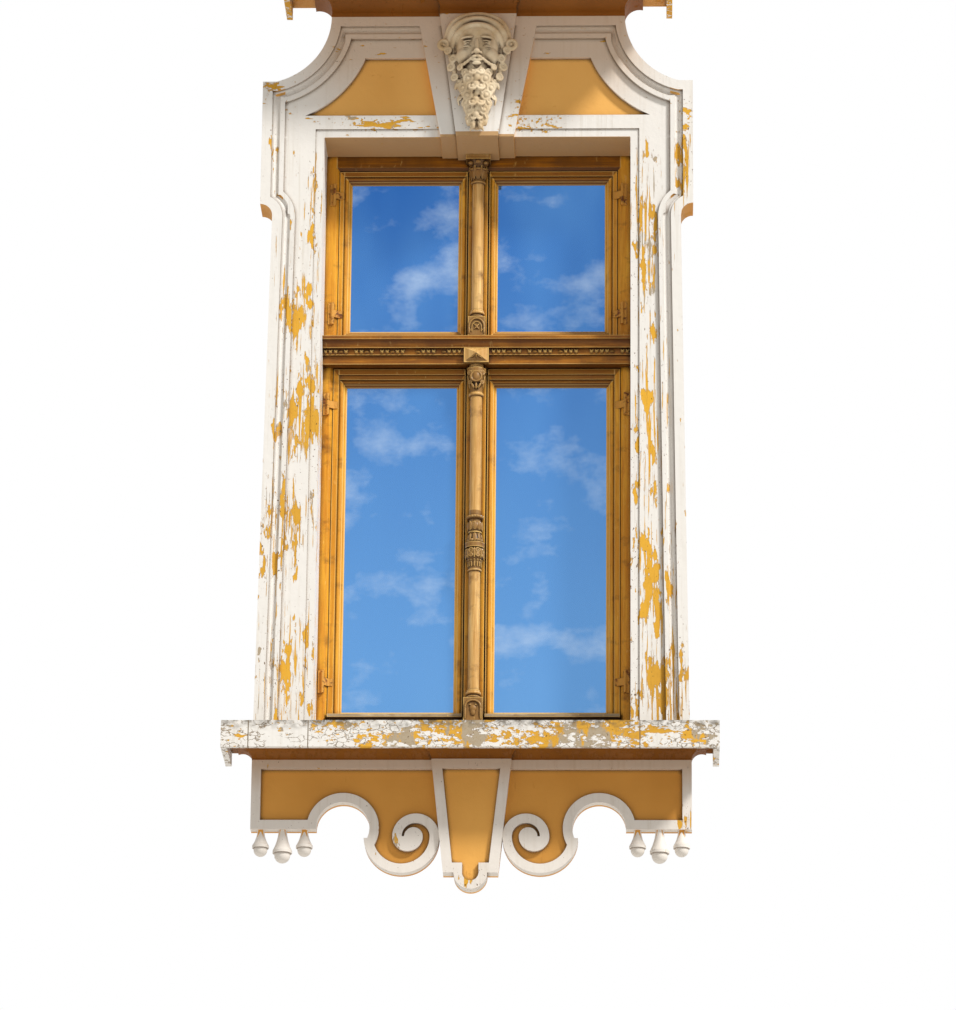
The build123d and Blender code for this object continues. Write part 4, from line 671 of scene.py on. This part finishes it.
def varnished_pine(
    name, grain_runs_level, light=PINE_LIGHT, dark=PINE_DARK, quirk_soot_and_shade=QUIRK_SOOT_AND_SHADE, wear=0.35, rails=0.0, carved=(),
):
    """grain_runs_level gives 1 where the grain runs level and 0 where it stands. rails is how much painted
    shade darkens the level members, and carved lists the bands (middle, half height) where stain lies in carving."""
    material, tree, shader, where = new_material(name)
    place = add(tree, "SeparateXYZ", {0: where})

    # The grain, fine across and long along the member, and its late wood as darker streaks
    grains = []
    for scale in ((110, 110, 5), (5, 110, 110)):
        placed = add(tree, "Mapping", {"Vector": where, "Scale": scale}).outputs[0]
        inputs = {"Vector": placed, "Scale": 1.0, "Detail": 5.0, "Roughness": 0.65, "Distortion": 0.4}
        grains.append(add(tree, "TexNoise", inputs).outputs[0])
    level = grain_runs_level(tree, place)
    grain = add(tree, "Mix", {0: level, 2: grains[0], 3: grains[1]}, data_type="FLOAT").outputs[0]
    streak = add(tree, "MapRange", {"Value": grain, "From Min": 0.35, "From Max": 0.68}).outputs[0]

    # Where the varnish is darker: in clouds of 110 by 330 mm, in burnt spots of 70 mm, on the level
    # members as painted shade, and over the carving
    cloud = noise_mask(tree, where, (9, 9, 3), 0.35, 0.75, detail=4.0)
    burnt = noise_mask(tree, where, (13, 13, 16), 0.56, 0.72, detail=6.0, shift=(5, 3, 1))
    burnt = add(tree, "Math", {0: burnt, 1: 0.75}, operation="MULTIPLY").outputs[0]
    stains = [(streak, dark), (cloud, dark), (burnt, SUN_BURNT)]
    if rails:
        rail_shade = add(tree, "Math", {0: level, 1: rails}, operation="MULTIPLY").outputs[0]
        stains.append((rail_shade, RAIL_PAINTED_SHADE))
    for middle, half in carved:
        stain = add(tree, "Math", {0: place.outputs[2], 1: middle, 2: half}, operation="COMPARE").outputs[0]
        stain = add(tree, "Math", {0: stain, 1: 0.70}, operation="MULTIPLY").outputs[0]
        stains.append((stain, CARVING_STAIN))

    # Where it is worn pale: in spots of 14 by 40 mm, more by the sill and over the ledge. Along the
    # arrises it is paler as a painted highlight
    pale_wear_and_highlight = noise_mask(tree, where, (70, 70, 25), 0.64, 0.72, detail=6.0, shift=(2, 2, 4))
    inputs = {"Value": place.outputs[2], "From Min": SPLASH_Z[0], "From Max": SPLASH_Z[1], "To Max": 0.6}
    low = add(tree, "MapRange", inputs).outputs[0]
    ledge = add(tree, "Math", {0: place.outputs[2], 1: LEDGE_Z, 2: LEDGE_HALF}, operation="COMPARE").outputs[0]
    low = add(tree, "Math", {0: ledge, 1: 0.45, 2: low}, operation="MULTIPLY_ADD").outputs[0]
    low = add(tree, "Math", {0: low, 1: wear}, operation="ADD").outputs[0]
    pale_wear_and_highlight = add(tree, "Math", {0: pale_wear_and_highlight, 1: low}, operation="MULTIPLY").outputs[0]
    arris_highlight = crease_mask(tree, 0.004, 0.88, 0.62, 0.75, samples=6, inside=True, only_local=True)
    pale_wear_and_highlight = add(tree, "Math", {0: pale_wear_and_highlight, 1: arris_highlight}, operation="MAXIMUM").outputs[0]

    # Soot and painted shade in the quirks, finer in the carving, and painted shade on the undersides
    reach, clean, full = (0.010, 0.95, 0.48) if carved else (0.022, 0.84, 0.36)
    darkening = crease_mask(tree, reach, clean, full, 0.96, samples=6)
    facing = add(tree, "SeparateXYZ", {0: add(tree, "NewGeometry").outputs["Normal"]}).outputs[2]
    inputs = {"Value": facing, "From Min": -0.25, "From Max": -0.75, "To Max": 0.72}
    under = add(tree, "MapRange", inputs).outputs[0]

    feed(tree, shader, {
        "Base Color": coats(tree, light, *stains, (pale_wear_and_highlight, PALE_WEAR_AND_HIGHLIGHT), (darkening, quirk_soot_and_shade), (under, UNDERSIDE_PAINTED_SHADE)),
        "Normal": add(tree, "Bump", {"Height": grain, "Strength": 0.35, "Distance": 0.0008}).outputs[0],
        "Roughness": add(tree, "MapRange", {"Value": streak, "To Min": 0.32, "To Max": 0.55}).outputs[0],
        "Specular IOR Level": 0.30,
    })
    return material


def level_grain(tree, place):
    """For a member that lies level."""
    return 1.0


def upright_grain(tree, place):
    """For a member that stands."""
    return 0.0


def rails_of(row):
    """The grain of a row's sashes: level in their rails, upright in their stiles, mitred at the corners."""
    sash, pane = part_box(f"sash_{row}_left"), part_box(f"glass_{row}_left")

    def inwards(tree, value, edge, glass_edge):
        """0 at the sash's edge and 1 at the pane's, and on past both."""
        inputs = {"Value": value, "From Min": edge, "From Max": glass_edge}
        return add(tree, "MapRange", inputs, clamp=False).outputs[0]

    def level(tree, place):
        off = add(tree, "Math", {0: place.outputs[0]}, operation="ABSOLUTE").outputs[0]
        inner = inwards(tree, off, -sash[1][0], -pane[1][0])
        outer = inwards(tree, off, -sash[0][0], -pane[0][0])
        top = inwards(tree, place.outputs[2], sash[1][2], pane[1][2])
        foot = inwards(tree, place.outputs[2], sash[0][2], pane[0][2])
        side = add(tree, "Math", {0: inner, 1: outer}, operation="MINIMUM").outputs[0]
        end = add(tree, "Math", {0: top, 1: foot}, operation="MINIMUM").outputs[0]
        return add(tree, "Math", {0: end, 1: side}, operation="LESS_THAN").outputs[0]

    return level


# The knop, the lower column's head, the upper column's foot, its capital and the lower column's foot
CARVED_BANDS = ((0.805, 0.105), (1.380, 0.045), (1.560, 0.050), (2.145, 0.045), (0.205, 0.050))
# The frame's level members are darker, partly as painted shade, and the frame's head darkest, as painted shade under
# the lintel
level_pine_with_painted_shade = varnished_pine("varnished_pine_level_in_painted_shade", level_grain, light="C07C20", dark="74420C")
head_pine_in_painted_shade = varnished_pine("varnished_pine_in_shade", level_grain, light="AC6A0C", dark="6C4006", wear=0.30)
upright_pine = varnished_pine("varnished_pine_upright", upright_grain)
carved_wood = varnished_pine(
    "varnished_limewood", upright_grain, light="F6CE88", dark="C08C46", wear=0.6, carved=CARVED_BANDS,
)
bare_pine = varnished_pine(
    "weathered_bare_pine", level_grain, light="D3C3A8", dark="8E7C64", quirk_soot_and_shade="2E2318", wear=0.9,
)
finish_node("frame_head", head_pine_in_painted_shade)
for name in ("frame_bottom_rail", "frame_transom"):
    finish_node(name, level_pine_with_painted_shade)
for name in ("frame_jamb_left", "frame_jamb_right", "frame_mullion_upper", "frame_mullion_lower"):
    finish_node(name, upright_pine)
for name in ("column_upper", "column_lower", "transom_boss"):
    finish_node(name, carved_wood)
for row in ("lower", "upper"):
    # The rails of the sashes are browner than their stiles as painted shade
    sash_pine = varnished_pine(f"varnished_pine_{row}_sash", rails_of(row), rails=0.8)
    for side in ("left", "right"):
        finish_node(f"sash_{row}_{side}", sash_pine)
        finish_node(f"putty_{row}_{side}", sash_pine)
for side in ("left", "right"):
    finish_node(f"drip_board_{side}", bare_pine)


# The carving on the joinery: limewood, cut on the bench and glued on. A row of leaf darts and beads
# runs under the cornice, leaves wrap the capital and the knop, and small shields sit on the blocks.
# The columns' axis, and the fineness that their carving needs:
COLUMN_Y = 0.058
CARVING_VOXEL = 0.0011


def on_column(radius, angle, z):
    """A place on the column, at an angle from its front."""
    swing = radians(angle)
    return (radius * sin(swing), COLUMN_Y - radius * cos(swing), z)


def around(radius, angle, z, size, turn=(0, 0, 0)):
    """A lump set on the column and turned to face outwards."""
    ball(on_column(radius, angle, z), size, turn=(turn[0], turn[1], turn[2] + angle))


def glue_on(name):
    """Makes one carved piece of the lumps and fixes it to the window."""
    carved = gather(name, CARVING_VOXEL, smooth=1)
    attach(carved, "window")
    return carved


# The rows under the cornice, with every fifth leaf a bead, and the places where a leaf is lost
ROW_Y, ROW_Z = 0.034, 1.475
ROW_FROM, ROW_TO, ROW_STEPS = 0.058, 0.514, 27
BEAD_EVERY, FIRST_BEAD = 5, 3
LOST_DARTS = {"left": (4, 9, 10, 16, 21), "right": (6, 12, 17, 18, 24)}


def dart(x):
    """One leaf dart of the row: a heart with its point down, as few faces as it needs."""
    ball((x, ROW_Y, ROW_Z), (0.0066, 0.0055, 0.0090), segments=8, rings=6)
    for way in (-1, 1):
        bpy.ops.mesh.primitive_uv_sphere_add(
            segments=6, ring_count=5, radius=1.0, location=(x + 0.0036 * way, ROW_Y - 0.002, ROW_Z + 0.004),
            scale=(0.0030, 0.0045, 0.0050), rotation=(0, 0.5 * way, 0),
        )
        shapes.append(bpy.context.object)


leaf_rows = []
for side, way in (("left", -1), ("right", 1)):
    for step in range(ROW_STEPS):
        if step in LOST_DARTS[side]:
            continue
        x = way * (ROW_FROM + (ROW_TO - ROW_FROM) * step / (ROW_STEPS - 1))
        if step % BEAD_EVERY == FIRST_BEAD:
            ball((x, ROW_Y, ROW_Z), (0.0085, 0.0060, 0.0065))
        else:
            dart(x)
    row = join_lumps(f"leaf_row_{side}")
    bpy.ops.object.shade_smooth()
    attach(row, "window")
    leaf_rows.append(row)

# The leaf on the lower slope of the boss
BOSS_SLOPE = 32
ball((0, 0.011, 1.4515), (0.0035, 0.0050, 0.0090), turn=(BOSS_SLOPE, 0, 0))
for way in (-1, 1):
    ball((0.0075 * way, 0.012, 1.4530), (0.0030, 0.0045, 0.0095), turn=(BOSS_SLOPE, -38 * way, 0))
    ball((0.0150 * way, 0.0145, 1.4490), (0.0028, 0.0040, 0.0070), turn=(BOSS_SLOPE, -60 * way, 0))
boss_leaf = glue_on("boss_leaf")

# The capital of the upper column: leaves with turned tips, slim ones between them, a small volute at
# each corner and a flower at the front
for angle in range(-135, 136, 45):
    around(0.0245, angle, 2.128, (0.0085, 0.0040, 0.0190), turn=(14, 0, 0))
    around(0.0298, angle, 2.146, (0.0080, 0.0055, 0.0050), turn=(20, 0, 0))
    around(0.0265, angle + 22.5, 2.140, (0.0050, 0.0040, 0.0200), turn=(14, 0, 0))
for angle in (-45, 45, -135, 135):
    around(0.0360, angle, 2.167, (0.0085, 0.0085, 0.0085))
around(0.0370, 0, 2.168, (0.0090, 0.0060, 0.0085))
capital_leaves = glue_on("capital_leaves")

# The foot block of the upper column: two nested arches over a small lozenge
FOOT_Y = 0.0275
ARCH_STEPS = 12


def arched_rim(z, half_w, painted_sky_rise, thick, leg):
    """A half ring with straight legs, on the front of a block."""
    for step in range(2 * ARCH_STEPS + 1):
        angle = pi * (step / 2) / ARCH_STEPS
        ball((half_w * cos(angle), FOOT_Y, z + painted_sky_rise * sin(angle)), (thick, thick * 1.2, thick))
    for way in (-1, 1):
        ball((half_w * way, FOOT_Y, z - leg / 2), (thick, thick * 1.2, leg * 0.62))


arched_rim(1.5640, 0.0255, 0.0300, 0.0042, 0.024)
arched_rim(1.5610, 0.0165, 0.0205, 0.0030, 0.016)
ball((0, FOOT_Y, 1.5640), (0.0060, 0.0060, 0.0090))
for way in (-1, 1):
    ball((0.0045 * way, FOOT_Y, 1.5590), (0.0026, 0.0050, 0.0070), turn=(0, -38 * way, 0))
    ball((0.0045 * way, FOOT_Y, 1.5690), (0.0026, 0.0050, 0.0070), turn=(0, 38 * way, 0))
foot_arches = glue_on("foot_arches")

# The head of the lower column: an oval shield between two scrolls, over a collar of leaves
ball((0, 0.0290, 1.385), (0.0125, 0.0070, 0.0165))
ring((0, 0.0285, 1.385), 0.0175, 0.0040)
for way in (-1, 1):
    ring((0.0215 * way, 0.0345, 1.400), 0.0070, 0.0032, turn=(90, 0, 30 * way))
    ball((0.0215 * way, 0.0340, 1.400), (0.0034, 0.0045, 0.0034))
    ring((0.0200 * way, 0.0350, 1.366), 0.0055, 0.0028, turn=(90, 0, 30 * way))
    ball((0.0200 * way, 0.0345, 1.366), (0.0028, 0.0040, 0.0028))
    ball((0.0110 * way, 0.0330, 1.352), (0.0040, 0.0045, 0.0110), turn=(0, 24 * way, 0))
ball((0, 0.0315, 1.352), (0.0045, 0.0050, 0.0120))
for angle in (-150, -115, -80, 80, 115, 150):
    around(0.0255, angle, 1.372, (0.0070, 0.0040, 0.0240), turn=(10, 0, 0))
shield_and_scrolls = glue_on("shield_and_scrolls")


def collar(z, radius, count, size):
    """A ring of the same small lump all round the column."""
    for step in range(count):
        around(radius, 360 * step / count, z, size)


# The knop: beads on its upper ring, gadroons on the ball, leaves on the neck, scrolls on the bulb and
# a frill of darts on the cup
BULB_R = 0.0298
collar(0.886, 0.0262, 18, (0.0043, 0.0035, 0.0050))
collar(0.853, 0.0248, 10, (0.0062, 0.0040, 0.0160))
for angle in range(0, 360, 45):
    between = angle + 22.5
    around(0.0228, angle, 0.813, (0.0070, 0.0036, 0.0165), turn=(-10, 0, 0))
    around(0.0262, between, 0.801, (0.0050, 0.0036, 0.0060))
    around(BULB_R, angle, 0.756, (0.0032, 0.0038, 0.0190))
    for z, size in ((0.765, 0.0070), (0.7475, 0.0052)):
        ring(on_column(BULB_R, between, z), size, 0.0026, turn=(90, 0, between))
        around(0.0302, between, z, (0.0028, 0.0030, 0.0028))
collar(0.721, 0.0212, 14, (0.0033, 0.0032, 0.0125))
collar(0.733, 0.0235, 14, (0.0040, 0.0034, 0.0040))
knop_carving = glue_on("knop_carving")

# The foot block of the lower column: a pointed shield under an arched rim
LOWER_BLOCK_Z = 0.205
arched_rim(LOWER_BLOCK_Z + 0.010, 0.0255, 0.0220, 0.0048, 0.040)
ball((0, FOOT_Y, LOWER_BLOCK_Z + 0.004), (0.0125, 0.0070, 0.0130))
ball((0, FOOT_Y, LOWER_BLOCK_Z - 0.008), (0.0090, 0.0065, 0.0150))
for way in (-1, 1):
    ball((0.0090 * way, FOOT_Y, LOWER_BLOCK_Z + 0.016), (0.0050, 0.0060, 0.0040), turn=(0, 20 * way, 0))
block_shield = glue_on("block_shield")


for carved in (capital_leaves, foot_arches, shield_and_scrolls, knop_carving, block_shield):
    carved.data.materials.append(carved_wood)
# The leaf rows and the boss leaf under the cornice are a darker brown
dark_carving_wood = varnished_pine("dark_limewood", level_grain, light="B8822E", dark="583408", wear=0.3)
for carved in leaf_rows + [boss_leaf]:
    carved.data.materials.append(dark_carving_wood)


# The panes: drawn sheet glass with a faint ripple every 170 mm. Their blue is a painted reflection of a
# sky with a soft haze, on a mostly metallic face; it is paler low down, as a lower part of the sky.
glass, tree, shader, where = new_material("drawn_sheet_glass_with_painted_sky")
place = add(tree, "SeparateXYZ", {0: where})
painted_sky_rise = add(tree, "MapRange", {"Value": place.outputs[2], "From Min": 0.2, "From Max": 2.15}).outputs[0]
painted_sky_wave = noise_mask(tree, where, (3, 3, 1.2), 0.3, 0.7, detail=2.0)
painted_sky_wave = add(tree, "Math", {0: painted_sky_wave, 1: 0.6}, operation="MULTIPLY").outputs[0]
painted_cloud_haze = noise_mask(tree, where, (3.2, 3.2, 4.6), 0.50, 0.78, shift=(0.6, 0, 0.4))
painted_cloud_haze = add(tree, "Math", {0: painted_cloud_haze, 1: 0.72}, operation="MULTIPLY").outputs[0]
ripple = add(tree, "TexNoise", {"Vector": where, "Scale": 6.0, "Detail": 1.0}).outputs[0]
feed(tree, shader, {
    "Base Color": coats(tree, "6CA6E2", (painted_sky_rise, "1E62B6"), (painted_sky_wave, "5E9ADA"), (painted_cloud_haze, "C4DAF3")),
    "Normal": add(tree, "Bump", {"Height": ripple, "Strength": 0.1, "Distance": 0.001}).outputs[0],
    "Roughness": 0.05, "IOR": 1.5, "Metallic": 0.75,
})
for row in ("lower", "upper"):
    for side in ("left", "right"):
        finish_node(f"glass_{row}_{side}", glass)


# The hinges: pressed iron leaves on an iron pin, painted over with the wood long ago and rusting
# through in spots of 30 mm. The rust's pits, really 1 or 2 mm, are drawn at 8 mm to show.
rusted_iron, tree, shader, where = new_material("painted_and_rusted_iron")
pits = noise_mask(tree, where, (120, 120, 120), 0.4, 0.6)
bare = noise_mask(tree, where, (30, 30, 30), 0.54, 0.60)
feed(tree, shader, {
    "Base Color": coats(tree, "D59A42", (bare, coats(tree, "A8682C", (pits, "6B3F1C")))),
    "Normal": add(tree, "Bump", {"Height": pits, "Strength": 0.6, "Distance": 0.0006}).outputs[0],
    "Roughness": 0.8,
})
for row in ("lower", "upper"):
    for side in ("left", "right"):
        finish_node(f"hinge_frame_{row}_{side}", rusted_iron)
        finish_node(f"hinge_sash_{row}_{side}", rusted_iron)


# The handles inside, on their plates: cast brass, polished and then dulled by hands in patches of
# 17 mm.
brass, tree, shader, where = new_material("cast_brass")
dull = noise_mask(tree, where, (60, 60, 60), 0.35, 0.7)
feed(tree, shader, {
    "Base Color": coats(tree, "C9A25A", (dull, "7C6236")),
    "Metallic": 1.0,
    "Roughness": add(tree, "MapRange", {"Value": dull, "To Min": 0.28, "To Max": 0.5}).outputs[0],
})
for row in ("lower", "upper"):
    for side in ("left", "right"):
        finish_node(f"handle_{row}_{side}", brass)
        finish_node(f"handle_plate_{row}_{side}", brass)
